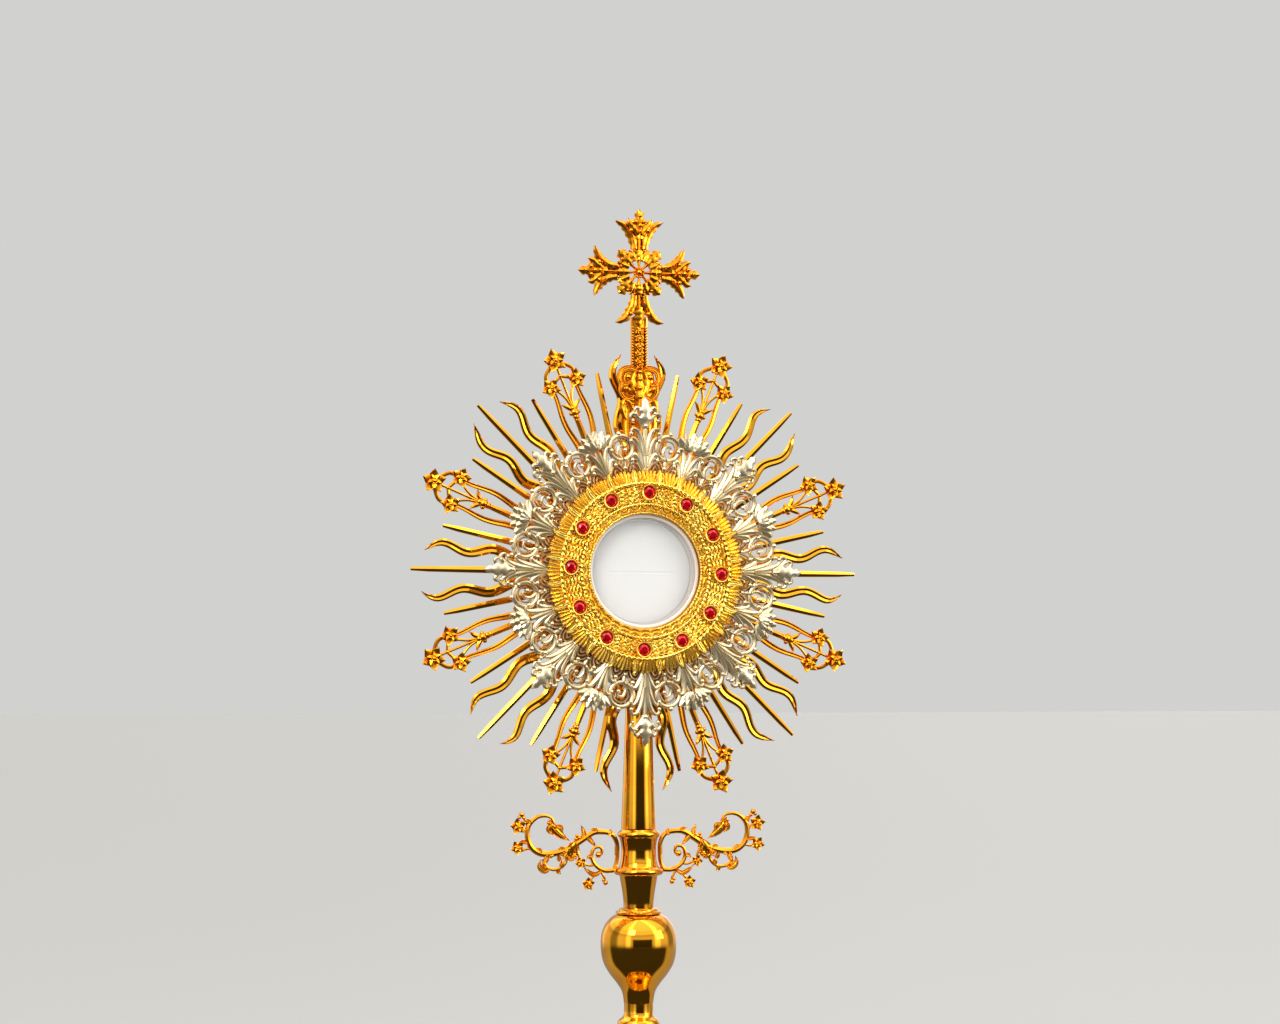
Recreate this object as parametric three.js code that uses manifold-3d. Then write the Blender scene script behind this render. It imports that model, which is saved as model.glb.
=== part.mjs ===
// A sunburst monstrance: a stepped round foot, a turned stem with a pear-shaped knop and two scroll arms,
// and a glory of rays round a glazed case that holds the luna. Millimetres, +Z up, the front faces -Y,
// and the origin is the middle of the foot on the table.
import * as THREE from "three";
import { mergeVertices } from "three/addons/utils/BufferGeometryUtils.js";
import Module from "manifold-3d";

const wasm = await Module();
wasm.setup();

// ---- Driving dimensions ---------------------------------------------------------------------------------
const GAP = 0.3; // between pieces that touch
const FOOT_RADIUS = 92;
const FOOT_HEIGHT = 14;
const DOME_TOP = 88;
const KNOP_BOTTOM = 141.5;
const KNOP_TOP = 200.5;
const NECK_BOTTOM = 205;
const COLLAR_BOTTOM = 226.5;
const COLLAR_TOP = 257;
const STEM_TOP = 352;
const SUN_HEIGHT = 431; // the middle of the glory
const ROD_RADIUS = 4; // the tie rod that pulls the stem together
const TUBE_WALL = 1.6;

const CASE_INNER = 44.5;
const CASE_OUTER = 47.3;
const CASE_FRONT = -14.2;
const CASE_BACK = 9.5;
const WINDOW_RADIUS = 38.5; // the clear opening at the front
const RING_INNER = CASE_OUTER + GAP; // every ring round the case starts here

const RAY_FRONT = 2;
const RAY_BACK = 4.4;
const RAY_FOOT_INNER = 58;
const RAY_FOOT_OUTER = 68;
const MAIN_RAY = 160; // tip radii
const WAVY_RAY = 151;
const SHORT_RAY = 140;
const SPRAY_TIP = 160.5;

const FRONT_TURN = 2; // the ornaments on the case sit turned this many degrees clockwise
const FILIGREE_FRONT = -12;
const FILIGREE_BACK = -10.2;
const CROWN_FRONT = -14.2;
const CROWN_BACK = -12.4;
const BEZEL_BACK = -14.5;
const BEZEL_CREST = -19.8;
const BEZEL_OUTER = 60.8;
const GEM_CIRCLE = 53;
const GEM_RADIUS = 4;
const GEM_COUNT = 12;

const LUNA_RADIUS = 36.8;
const LUNA_BAND = 38.4;
const HOST_RADIUS = 34.8;
const DOOR_RADIUS = 47;
const DOOR_FRONT = CASE_BACK + GAP;
const DOOR_BACK = 12.6;
const HINGE = { x: 53, y: 14.2, knuckle: 2.6, hole: 1.6, pin: 1.3 };
const LATCH = { x: -52, reach: 9, front: DOOR_BACK + 0.35, back: 14.6 };
const PLATE_FRONT = RAY_BACK + GAP;
const PLATE_BACK = 6.9;
const CROSS_CENTRE = 635.6 - SUN_HEIGHT; // above the middle of the glory

const STEM_SIDES = 20;
const FOOT_SIDES = 28;
const CASE_SIDES = 32;

const rad = THREE.MathUtils.degToRad;
const at = (x, y) => new THREE.Vector2(x, y);
const polar = (radius, degrees) => at(radius * Math.sin(rad(degrees)), radius * Math.cos(rad(degrees)));
const onAxis = (points) => points.map(([x, y]) => at(x, y));

// ---- Shape helpers --------------------------------------------------------------------------------------
// A smooth run of an outline through a few points.
function smooth(points, steps) {
  return new THREE.SplineCurve(onAxis(points)).getPoints(steps);
}

function arc(radius, from, to, steps) {
  return Array.from({ length: steps + 1 }, (_, i) => polar(radius, from + ((to - from) * i) / steps));
}

// A turned piece with its axis along Y. The outline is [radius, y] points, which either start and end on
// the axis or are closed here.
function turned(outline, sides) {
  const points = THREE.ShapeUtils.area(outline) < 0 ? [...outline].reverse() : [...outline];
  while (points.some((point) => point.x === 0) && !(points[0].x === 0 && points.at(-1).x === 0)) {
    points.push(points.shift());
  }
  if (points[0].x > 0) points.push(points[0].clone());
  return new THREE.LatheGeometry(points, sides);
}

// The same with its axis upright, along Z.
function turnedUpright(outline, sides) {
  return turned(outline, sides).rotateX(Math.PI / 2);
}

// A closed band in [radius, axis] space from an outer line and an inner line, both running upwards.
function band(outer, inner) {
  return [...outer, ...[...inner].reverse()];
}

// A flat plate in the XZ plane between two depths.
function plate(outline, front, back) {
  const options = { depth: back - front, bevelEnabled: false };
  const geometry = new THREE.ExtrudeGeometry(new THREE.Shape(outline), options);
  return geometry.rotateX(Math.PI / 2).translate(0, back, 0);
}

function box(x0, x1, y0, y1, z0, z1) {
  const geometry = new THREE.BoxGeometry(x1 - x0, y1 - y0, z1 - z0);
  return geometry.translate((x0 + x1) / 2, (y0 + y1) / 2, (z0 + z1) / 2);
}

function rodAlongY(x, z, radius, front, back, sides) {
  const rod = new THREE.CylinderGeometry(radius, radius, back - front, sides);
  return rod.translate(x, (front + back) / 2, z);
}

function rodAlongZ(x, y, radius, bottom, top, sides) {
  const rod = new THREE.CylinderGeometry(radius, radius, top - bottom, sides).rotateX(Math.PI / 2);
  return rod.translate(x, y, (bottom + top) / 2);
}

// A bar of the given width between two points of the XZ plane.
function bar(from, to, width, front, back) {
  const along = to.clone().sub(from).normalize();
  const side = along.rotateAround(at(0, 0), Math.PI / 2).multiplyScalar(width / 2);
  const near = [from.clone().add(side), to.clone().add(side)];
  const far = [to.clone().sub(side), from.clone().sub(side)];
  return plate([...near, ...far], front, back);
}

// A many-pointed flower or star in the XZ plane.
function star(centre, points, outer, inner, front, back) {
  const step = 180 / points;
  const outline = Array.from({ length: 2 * points }, (_, i) =>
    polar(i % 2 ? inner : outer, i * step).add(centre),
  );
  return plate(outline, front, back);
}

// ---- Booleans -------------------------------------------------------------------------------------------
function toManifold(geometry) {
  const bare = geometry.index ? geometry.toNonIndexed() : geometry.clone();
  bare.deleteAttribute("normal");
  bare.deleteAttribute("uv");
  const merged = mergeVertices(bare, 1e-4);
  const mesh = new wasm.Mesh({
    numProp: 3,
    vertProperties: merged.attributes.position.array,
    triVerts: new Uint32Array(merged.index.array),
  });
  return new wasm.Manifold(mesh);
}

function toGeometry(manifold) {
  const mesh = manifold.getMesh();
  return new THREE.BufferGeometry()
    .setAttribute("position", new THREE.BufferAttribute(mesh.vertProperties, 3))
    .setIndex(new THREE.BufferAttribute(mesh.triVerts, 1));
}

function joined(...geometries) {
  return toGeometry(geometries.map(toManifold).reduce((a, b) => a.add(b)));
}

function cut(geometry, ...cutters) {
  return toGeometry(cutters.map(toManifold).reduce((a, b) => a.subtract(b), toManifold(geometry)));
}

// ---- Materials ------------------------------------------------------------------------------------------
function finish(colour, roughness, metalness, opacity = 1) {
  return new THREE.MeshStandardMaterial({
    color: colour,
    roughness,
    metalness,
    opacity,
    transparent: opacity < 1,
  });
}

const gold = finish(0xe0940f, 0.12, 1);
const chasedGold = finish(0xe8ac25, 0.3, 1);
const silver = finish(0xd2c8ac, 0.25, 1);
const brass = finish(0xb99342, 0.35, 1);
const ruby = finish(0x96060c, 0.05, 0, 0.9);
const glass = finish(0xffffff, 0.02, 0, 0.25);
const clearRim = finish(0xf2e4d4, 0.1, 0, 0.75);
const wafer = finish(0xf4f3ee, 0.8, 0);
const felt = finish(0x34452c, 0.95, 0);

// ---- Foot and stem --------------------------------------------------------------------------------------
function feltPad() {
  return turnedUpright(onAxis([[0, 0], [86, 0], [86, 1.5], [0, 1.5]]), FOOT_SIDES);
}

function basePlate() {
  return turnedUpright(onAxis([[14, 1.8], [83.2, 1.8], [83.2, 3.6], [14, 3.6]]), FOOT_SIDES);
}

function footRim() {
  const outer = [[87, 2], [90.5, 2.2], [FOOT_RADIUS, 4.5], [90.8, 7.4], [87.5, 8.6], [88, 11]];
  outer.push([85.5, FOOT_HEIGHT]);
  return turnedUpright(band(onAxis(outer), onAxis([[84, 2], [80.5, FOOT_HEIGHT]])), FOOT_SIDES);
}

// Hollow, and closed at the top by a flange that the tie rod's nut bears on.
function baseDome() {
  const wall = 1.8;
  const crown = [[79, 19.5], [72, 31], [58, 42.5], [42, 50], [29, 58.5], [21, 70], [17.5, DOME_TOP]];
  const outer = [at(85, FOOT_HEIGHT + GAP), at(81.5, 17.5), ...smooth(crown, 7)];
  const inner = smooth(crown.slice(0, 6).map(([radius, height]) => [radius - wall, height - wall]), 4);
  inner[0].set(81, FOOT_HEIGHT + GAP);
  const hole = ROD_RADIUS + GAP;
  const flange = onAxis([[15.8, DOME_TOP - 4], [hole, DOME_TOP - 4], [hole, DOME_TOP]]);
  return turnedUpright(band(outer, [...inner, ...flange]), FOOT_SIDES);
}

function lowerStem() {
  const ring = onAxis([[17, DOME_TOP + GAP], [19.5, 90.5], [19.5, 93], [16.5, 95.5]]);
  const trumpet = smooth([[15.5, 97], [11.4, 108], [9.8, 121]], 4);
  const bead = onAxis([[12.4, 124], [14.2, 127.5], [12.4, 131], [9.8, 133.5], [9.8, KNOP_BOTTOM - GAP]]);
  const bore = onAxis([[5, DOME_TOP + GAP], [5, KNOP_BOTTOM - GAP]]);
  return turnedUpright(band([...ring, ...trumpet, ...bead], bore), STEM_SIDES);
}

function knop() {
  const pear = [[10, KNOP_BOTTOM], [11, 148], [16.5, 156.5], [23.3, 167], [25.6, 182]];
  pear.push([22.6, 193], [15.6, 200]);
  const outer = [...smooth(pear, 9), at(14, KNOP_TOP)];
  const hollow = [[6, KNOP_BOTTOM], [8, 147.5], [20.5, 167], [23.6, 182], [14, 198]];
  hollow.push([12.6, KNOP_TOP]);
  return turnedUpright(band(outer, smooth(hollow, 4)), STEM_SIDES);
}

function knopCap() {
  const outer = [[15, KNOP_TOP + GAP], [15, 202.2], [13.6, 202.8], [13.6, 204], [12, NECK_BOTTOM - GAP]];
  const bore = [[5, KNOP_TOP + GAP], [5, NECK_BOTTOM - GAP]];
  return turnedUpright(band(onAxis(outer), onAxis(bore)), STEM_SIDES);
}

function neck() {
  const outer = smooth([[10.1, NECK_BOTTOM], [10.6, 213], [12.8, COLLAR_BOTTOM - GAP]], 4);
  const bore = onAxis([[5, NECK_BOTTOM], [5, COLLAR_BOTTOM - GAP]]);
  return turnedUpright(band(outer, bore), STEM_SIDES);
}

function collar() {
  const flange = onAxis([[14, COLLAR_BOTTOM], [16.4, 228], [16.4, 230], [13.6, 231.6]]);
  const spool = smooth([[12.2, 235], [11.4, 243], [12.2, 250]], 4);
  const top = onAxis([[13.8, 253], [13.8, 255.2], [12, COLLAR_TOP]]);
  const bore = onAxis([[5, COLLAR_BOTTOM], [5, COLLAR_TOP]]);
  return turnedUpright(band([...flange, ...spool, ...top], bore), STEM_SIDES);
}

function upperStem() {
  const outer = onAxis([[11.7, COLLAR_TOP + GAP], [8.4, STEM_TOP]]);
  const inner = outer.map((point) => at(point.x - TUBE_WALL, point.y));
  return turnedUpright(band(outer, inner), STEM_SIDES);
}

function tieRod() {
  return rodAlongZ(0, 0, ROD_RADIUS, DOME_TOP - 14, STEM_TOP + 3, 12);
}

function tieRodNut() {
  const top = DOME_TOP - 4 - GAP;
  return cut(rodAlongZ(0, 0, 9, top - 6, top, 6), rodAlongZ(0, 0, ROD_RADIUS + GAP, top - 7, top + 1, 12));
}

// ---- Scroll arms ----------------------------------------------------------------------------------------
// A round wire along a curve in the XZ plane.
function wire(points, radius, steps) {
  const path = new THREE.CatmullRomCurve3(points.map(([x, z]) => new THREE.Vector3(x, 0, z)));
  const section = new THREE.Shape(Array.from({ length: 4 }, (_, i) => polar(radius, i * 90 + 45)));
  return new THREE.ExtrudeGeometry(section, { steps, extrudePath: path, bevelEnabled: false });
}

// The arm on the +X side: a lug on the collar, a big S-scroll, an inner volute, leaves and flowers.
function scrollArm(side) {
  const spine = [[18.2, 229.8], [15.9, 236], [15.4, 243], [16, 249], [19, 254.2], [25, 255.8]];
  spine.push([32, 255.3], [40, 250.5], [49, 245], [59, 242], [68, 242], [74.5, 246]);
  spine.push([77.5, 253], [76.5, 261], [70, 266.6], [62, 266.3], [59, 261]);
  const volute = [[18.2, 230], [24, 230], [30, 233.8], [32.8, 239.5], [31, 244.6]];
  volute.push([26.8, 244.8], [26.4, 241.6]);
  const lowerLeaf = [[50, 243], [50.5, 236], [56, 231], [64, 231.6], [67, 236]];
  const innerLeaf = [[44, 249], [52, 250], [58, 254.5], [64, 260]];
  const sprig = [[22, 229.6], [31, 226.4], [35.6, 221.6]];
  const blooms = [[84.3, 260.2, 5], [80.8, 266.5, 3], [84.6, 246.3, 4.4], [35.6, 221.4, 4]];
  blooms.push([40, 235.5, 3.6], [58, 258.4, 4], [40.4, 256, 3.6]);
  const stalks = [[[77.3, 257.5], [84.3, 260.2]], [[77, 260], [80.8, 266.5]], [[75, 247], [84.6, 246.3]]];
  stalks.push([[45.5, 247], [40, 235.5]], [[38, 252], [40.4, 256]]);
  const arm = joined(
    wire(spine, 1.8, 26),
    wire(volute, 1.6, 9),
    wire(lowerLeaf, 1.8, 5),
    wire(innerLeaf, 2, 4),
    wire(sprig, 1.2, 2),
    box(13.6, 16.4, -2, 2, 240, 246),
    ...blooms.map(([x, z, r]) => star(at(x, z), 5, r, r * 0.6, -1.6, 1.6)),
    ...stalks.map(([from, to]) => bar(at(...from), at(...to), 1.8, -0.9, 0.9)),
  );
  const collarRoom = turnedUpright(onAxis([[0, 200], [16.8, 200], [16.8, 231.6], [12.6, 235], [11.9, 243],
    [12.6, 250], [14.2, 253], [14.2, 258], [0, 258]]), STEM_SIDES);
  const clear = cut(arm, collarRoom);
  return side > 0 ? clear : clear.rotateZ(Math.PI);
}

// ---- Glory: everything here is drawn round the middle of the sun ----------------------------------------
// Joins the stem to the case: a plug on the stem's top, and a web that runs up in front of the rays.
function sunSocket() {
  const bottom = STEM_TOP + GAP - SUN_HEIGHT;
  const plug = rodAlongZ(0, 0, 7, bottom, -72.5, 16);
  const web = box(-7, 7, -6.4, RAY_FRONT - GAP, -75, -45);
  const saddle = rodAlongY(0, 0, RING_INNER, -8, 4, 2 * CASE_SIDES);
  const rodHole = rodAlongZ(0, 0, ROD_RADIUS + GAP, bottom - 1, bottom + 3.1, 12);
  return cut(joined(plug, web), saddle, rodHole);
}

function caseRing() {
  const lipBack = CASE_FRONT + 1.2;
  const wall = [[CASE_OUTER, CASE_FRONT], [CASE_OUTER, CASE_BACK], [CASE_INNER, CASE_BACK]];
  const lip = [[CASE_INNER, lipBack], [WINDOW_RADIUS + GAP, lipBack], [WINDOW_RADIUS + GAP, CASE_FRONT]];
  return turned(onAxis([...wall, ...lip]), CASE_SIDES);
}

function disc(radius, front, back) {
  return rodAlongY(0, 0, radius, front, back, CASE_SIDES);
}

// A flat ring between two depths.
function ring(inner, outer, front, back) {
  return turned(onAxis([[inner, front], [outer, front], [outer, back], [inner, back]]), CASE_SIDES);
}

// The ring behind the rays, with the hinge lugs on one side and the latch stud on the other.
function backPlate() {
  const lugs = [[-11, -6], [6, 11]].flatMap(([low, high]) => [
    box(HINGE.x - HINGE.knuckle, HINGE.x + HINGE.knuckle, PLATE_BACK - 0.5, HINGE.y, low, high),
    rodAlongZ(HINGE.x, HINGE.y, HINGE.knuckle, low, high, 12),
  ]);
  const stud = rodAlongY(LATCH.x, 0, 2, PLATE_BACK - 0.5, LATCH.back + 1, 12);
  const shoulder = rodAlongY(LATCH.x, 0, 3.2, PLATE_BACK - 0.5, LATCH.front - GAP, 12);
  const head = rodAlongY(LATCH.x, 0, 3.2, LATCH.back + GAP, LATCH.back + 1.6, 12);
  const pinHole = rodAlongZ(HINGE.x, HINGE.y, HINGE.hole, -12, 12, 12);
  return cut(joined(ring(RING_INNER, 72, PLATE_FRONT, PLATE_BACK), ...lugs, stud, shoulder, head), pinHole);
}

// The two edges of a ray along its length: each point is [share of the length, sway, half width].
const STRAIGHT = [[0, 0, 2.3], [0.965, 0, 1.4], [1, 0, 0.7]];
const THIN = Array.from({ length: 7 }, (_, i) => {
  const t = i / 6;
  return [t, 1.1 * Math.sin(1.7 * Math.PI * t), 1.6 - 0.78 * t];
});
const WAVY = Array.from({ length: 14 }, (_, i) => {
  const t = i / 13;
  const sway = 2 * Math.sin(5.4 * Math.PI * t) * Math.min(1, 4 * t);
  return [t, sway, i < 13 ? 2.3 + 2.2 * t * (1 - t) - 1.5 * t ** 5 : 0];
});

function ray(kind, degrees, tip, mirror = 1, foot = RAY_FOOT_OUTER - 2) {
  const along = polar(1, degrees);
  const across = at(along.y, -along.x);
  const edge = (side) =>
    kind.map(([share, sway, half]) =>
      along
        .clone()
        .multiplyScalar(foot + share * (tip - foot))
        .addScaledVector(across, mirror * sway + side * half),
    );
  const pointed = kind[kind.length - 1][2] === 0;
  return plate([...edge(-1), ...edge(1).reverse().slice(pointed ? 1 : 0)], RAY_FRONT, RAY_BACK);
}

// The curved foot that holds a casting to the plate behind it.
function foot(degrees, halfSpan) {
  const steps = halfSpan > 10 ? 4 : 2;
  const outline = [
    ...arc(RAY_FOOT_INNER, degrees - halfSpan, degrees + halfSpan, steps),
    ...arc(RAY_FOOT_OUTER, degrees + halfSpan, degrees - halfSpan, steps),
  ];
  return plate(outline, RAY_FRONT, RAY_BACK);
}

// A casting of rays: a long one in the middle, then a wavy and a short one on each side.
function rayFan(degrees, { main = true, wavyAt = 6.5 } = {}) {
  const sides = [-1, 1].flatMap((side) => [
    ray(WAVY, degrees + side * wavyAt, WAVY_RAY, side),
    ray(STRAIGHT, degrees + side * 12.3, SHORT_RAY),
  ]);
  return joined(foot(degrees, 15), ...sides, ...(main ? [ray(STRAIGHT, degrees, MAIN_RAY)] : []));
}

// A casting of flowers: three blooms on stalks tied at a knot, between two thin wavy rays.
function flowerSpray(degrees) {
  const knot = polar(117, degrees);
  const top = polar(SPRAY_TIP - 7, degrees);
  const blooms = [-1, 1].map((side) => polar(138, degrees + side * 4));
  return joined(
    foot(degrees, 7.2),
    ...[-1, 1].map((side) => ray(THIN, degrees + side * 4.4, 134, side)),
    bar(polar(RAY_FOOT_OUTER - 2, degrees), top, 2, RAY_FRONT, RAY_BACK),
    ...blooms.map((bloom) => bar(knot, bloom, 1.8, RAY_FRONT + 0.3, RAY_BACK - 0.3)),
    star(knot, 4, 5, 3, RAY_FRONT - 0.6, RAY_BACK),
    star(top, 5, 7, 4.4, RAY_FRONT - 1, RAY_BACK),
    ...blooms.map((bloom) => star(bloom, 5, 6, 3.8, RAY_FRONT - 1, RAY_BACK)),
  );
}

// An openwork ring with sixteen palmettes and a loop of scroll between each two.
function filigreeRing() {
  const count = 16;
  const step = 360 / count;
  const outline = Array.from({ length: count }, (_, i) => {
    const middle = i * step;
    const tip = i % 2 ? 100 : i % 8 ? 112 : 118;
    const half = [[88, -step / 2], [93, -6], [95, -3.4], [tip - 8, -3], [tip - 4, -2.4], [tip, 0]];
    const left = half.map(([radius, turn]) => polar(radius, middle + turn));
    const right = half.slice(1, -1).reverse().map(([radius, turn]) => polar(radius, middle - turn));
    return [...left, ...right];
  }).flat();
  const loops = Array.from({ length: count }, (_, i) => {
    const centre = polar(79.5, (i + 0.5) * step);
    return rodAlongY(centre.x, centre.y, 5.6, FILIGREE_FRONT - 1, FILIGREE_BACK + 1, 6);
  });
  return cut(plate(outline, FILIGREE_FRONT, FILIGREE_BACK), disc(RING_INNER, -20, 0), ...loops);
}

function leafCrown() {
  const leaves = 30;
  const outline = Array.from({ length: 2 * leaves }, (_, i) => {
    return polar(i % 2 ? 62.5 : 68, (i * 180) / leaves);
  });
  return cut(plate(outline, CROWN_FRONT, CROWN_BACK), disc(RING_INNER, -20, 0));
}

const gemPlaces = Array.from({ length: GEM_COUNT }, (_, i) => {
  return polar(GEM_CIRCLE, (i * 360) / GEM_COUNT + FRONT_TURN);
});

// The gold ring at the front: a scalloped band, a bead, the band of stones and an outer bead.
function gemBezel() {
  const outline = [[39, BEZEL_BACK], [39, -16.4], [44.4, -16.4], [45.4, -18.4], [46.6, -17.2], [58, -17.2]];
  outline.push([59.2, BEZEL_CREST], [60.6, -17.4], [BEZEL_OUTER, BEZEL_BACK]);
  const seats = gemPlaces.map(({ x, y }) => rodAlongY(x, y, GEM_RADIUS + GAP, -20, -15.7, 8));
  return cut(turned(onAxis(outline), CASE_SIDES), ...seats);
}

function gem({ x, y }) {
  const outline = onAxis([[0, -16], [GEM_RADIUS, -16], [GEM_RADIUS, -18], [2.6, -19.6], [0, -19.8]]);
  return turned(outline, 8).translate(x, 0, y);
}

// Stands behind the top palmette and carries the cross: a crown of leaves on a long tang.
function crownMount() {
  const half = [[5.4, 137], [9, 132.5], [16, 133.5], [13.6, 126.5], [8, 123], [6, 118]];
  half.push([3, 116], [3, 58.5]);
  const left = half.map(([x, z]) => at(-x, z)).reverse();
  return plate([...onAxis(half), ...left], -3, RAY_FRONT - GAP);
}

// Leafy ends on four arms round an open rosette; the lower arm runs on as the shaft.
function cross() {
  const leafy = [[5.8, 13], [5, 26], [9, 30], [14, 33], [16, 36.5], [12, 38.5]];
  const tip = [[8, 37.5], [5.6, 41], [0, 43.6]];
  const shaft = [[5.8, 39.5], [5.8, CROSS_CENTRE - 137 - GAP]];
  const corner = [[12.5, 12.5]];
  const outline = [0, 90, 180, 270].flatMap((turn) => {
    const half = [...leafy, ...(turn === 180 ? shaft : tip)];
    const left = half.filter(([x]) => x > 0).map(([x, z]) => at(-x, z));
    const right = onAxis(half).reverse();
    return [...left, ...right, ...onAxis(corner)].map((p) => p.rotateAround(at(0, 0), -rad(turn)));
  });
  const petals = Array.from({ length: 8 }, (_, i) => {
    const centre = polar(6.4, i * 45 + 22.5);
    return rodAlongY(centre.x, centre.y, 1.7, -2, 2, 6);
  });
  return cut(plate(outline, -1.5, 1.5), ...petals).translate(0, 0, CROSS_CENTRE);
}

// ---- Door, latch and luna -------------------------------------------------------------------------------
function doorFrame() {
  const outline = [[DOOR_RADIUS, DOOR_FRONT], [DOOR_RADIUS, DOOR_BACK], [39.5, DOOR_BACK], [39.5, 11.6]];
  outline.push([42, 11.6], [42, DOOR_FRONT]);
  const strap = box(45, HINGE.x, DOOR_BACK - 1.4, HINGE.y + 0.8, -6 + GAP, 6 - GAP);
  const knuckle = rodAlongZ(HINGE.x, HINGE.y, HINGE.knuckle, -6 + GAP, 6 - GAP, 12);
  const bore = rodAlongZ(HINGE.x, HINGE.y, HINGE.hole, -12, 12, 12);
  return cut(joined(turned(onAxis(outline), CASE_SIDES), strap, knuckle), bore);
}

function hingePin() {
  return rodAlongZ(HINGE.x, HINGE.y, HINGE.pin, -12, 12, 12);
}

// A bracket on the inner side of the door with a slot for the luna's tongue.
function lunaSocket() {
  const bracket = box(-5, 5, -8, DOOR_FRONT - GAP, -42.5, -38.9);
  return cut(bracket, box(-3.3, 3.3, -6, -3, -41.3, -38));
}

function lunaBand() {
  const inside = LUNA_RADIUS + GAP;
  const outline = [[LUNA_BAND, -7.5], [LUNA_BAND, -1.6], [35.6, -1.6], [35.6, -2.6]];
  outline.push([inside, -2.6], [inside, -7.5]);
  return joined(turned(onAxis(outline), CASE_SIDES), box(-3, 3, -5.7, -3.3, -41, -38));
}

// Turns on its stud; its long end reaches behind the edge of the closed door.
function latchButton() {
  const outline = onAxis([[-2.8, 0], [-1.8, LATCH.reach], [1.8, LATCH.reach], [2.8, 0]]);
  const blade = plate(outline, LATCH.front, LATCH.back);
  const boss = rodAlongY(0, 0, 3.6, LATCH.front, LATCH.back, 16);
  const bore = rodAlongY(0, 0, 2 + GAP, LATCH.front - 1, LATCH.back + 1, 12);
  return cut(joined(blade, boss), bore).translate(LATCH.x, 0, 0);
}

// ---- Assembly -------------------------------------------------------------------------------------------
const group = new THREE.Group();

function add(name, geometry, material, lift = 0) {
  const body = toGeometry(toManifold(geometry)).translate(0, 0, lift);
  const mesh = new THREE.Mesh(body.toNonIndexed(), material);
  mesh.geometry.computeVertexNormals();
  mesh.name = name;
  group.add(mesh);
}

add("felt_pad", feltPad(), felt);
add("base_plate", basePlate(), brass);
add("foot_rim", footRim(), gold);
add("base_dome", baseDome(), gold);
add("tie_rod", tieRod(), brass);
add("tie_rod_nut", tieRodNut(), brass);
add("lower_stem", lowerStem(), gold);
add("knop", knop(), gold);
add("knop_cap", knopCap(), gold);
add("neck", neck(), gold);
add("collar", collar(), gold);
add("scroll_arm_right", scrollArm(1), gold);
add("scroll_arm_left", scrollArm(-1), gold);
add("upper_stem", upperStem(), gold);

const glory = (name, geometry, material) => add(name, geometry, material, SUN_HEIGHT);

glory("sun_socket", sunSocket(), gold);
glory("case_ring", caseRing(), gold);
glory("back_plate", backPlate(), gold);
for (let i = 0; i < 8; i++) {
  const options = i === 0 ? { main: false } : i === 4 ? { main: false, wavyAt: 8.9 } : {};
  glory(`ray_fan_${i + 1}`, rayFan(i * 45, options), gold);
  glory(`flower_spray_${i + 1}`, flowerSpray(i * 45 + 22.5), gold);
}
glory("filigree_ring", filigreeRing(), silver);
glory("leaf_crown", leafCrown(), chasedGold);
glory("gem_bezel", gemBezel(), chasedGold);
gemPlaces.forEach((place, i) => glory(`gem_${String(i + 1).padStart(2, "0")}`, gem(place), ruby));
glory("front_glass", disc(CASE_INNER - GAP, -12.7, -11.1), glass);
glory("crown_mount", crownMount(), gold);
glory("cross", cross(), gold);
glory("door_frame", doorFrame(), gold);
glory("door_glass", disc(41.7, DOOR_FRONT + 0.1, 11.3), glass);
glory("luna_socket", lunaSocket(), gold);
glory("hinge_pin", hingePin(), brass);
glory("latch_button", latchButton(), gold);
glory("luna_band", lunaBand(), clearRim);
glory("luna_front", disc(LUNA_RADIUS, -7.1, -5.9), glass);
glory("luna_rear", disc(LUNA_RADIUS, -4.2, -2.9), glass);
glory("host", disc(HOST_RADIUS, -5.6, -4.5), wafer);

export default group;
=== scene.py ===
"""Looks for a sunburst monstrance. Metres, +Z up, the front faces -Y."""
import math
import random

import bmesh
import bpy
import numpy as np
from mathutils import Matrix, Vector


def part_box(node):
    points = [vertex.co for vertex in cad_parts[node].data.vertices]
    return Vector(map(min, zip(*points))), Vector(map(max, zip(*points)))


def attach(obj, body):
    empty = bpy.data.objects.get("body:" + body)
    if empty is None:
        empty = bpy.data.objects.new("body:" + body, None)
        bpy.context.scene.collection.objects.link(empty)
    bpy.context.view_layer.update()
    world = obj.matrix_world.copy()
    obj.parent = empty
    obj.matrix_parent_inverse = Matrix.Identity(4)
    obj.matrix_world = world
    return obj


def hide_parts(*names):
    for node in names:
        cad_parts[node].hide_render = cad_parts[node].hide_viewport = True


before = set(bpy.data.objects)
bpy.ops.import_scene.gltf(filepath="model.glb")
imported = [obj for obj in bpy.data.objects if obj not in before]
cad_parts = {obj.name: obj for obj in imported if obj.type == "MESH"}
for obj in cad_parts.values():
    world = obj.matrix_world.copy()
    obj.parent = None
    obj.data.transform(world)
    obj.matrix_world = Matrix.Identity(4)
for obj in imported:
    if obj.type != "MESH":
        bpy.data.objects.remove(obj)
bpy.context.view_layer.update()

MM = 0.001
TAU = 2 * math.pi


def centre_of(node):
    lo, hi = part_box(node)
    return (lo + hi) / 2


SUN = centre_of("case_ring").z
RAY_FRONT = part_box("ray_fan_3")[0].y / MM
random.seed(7)


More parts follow.
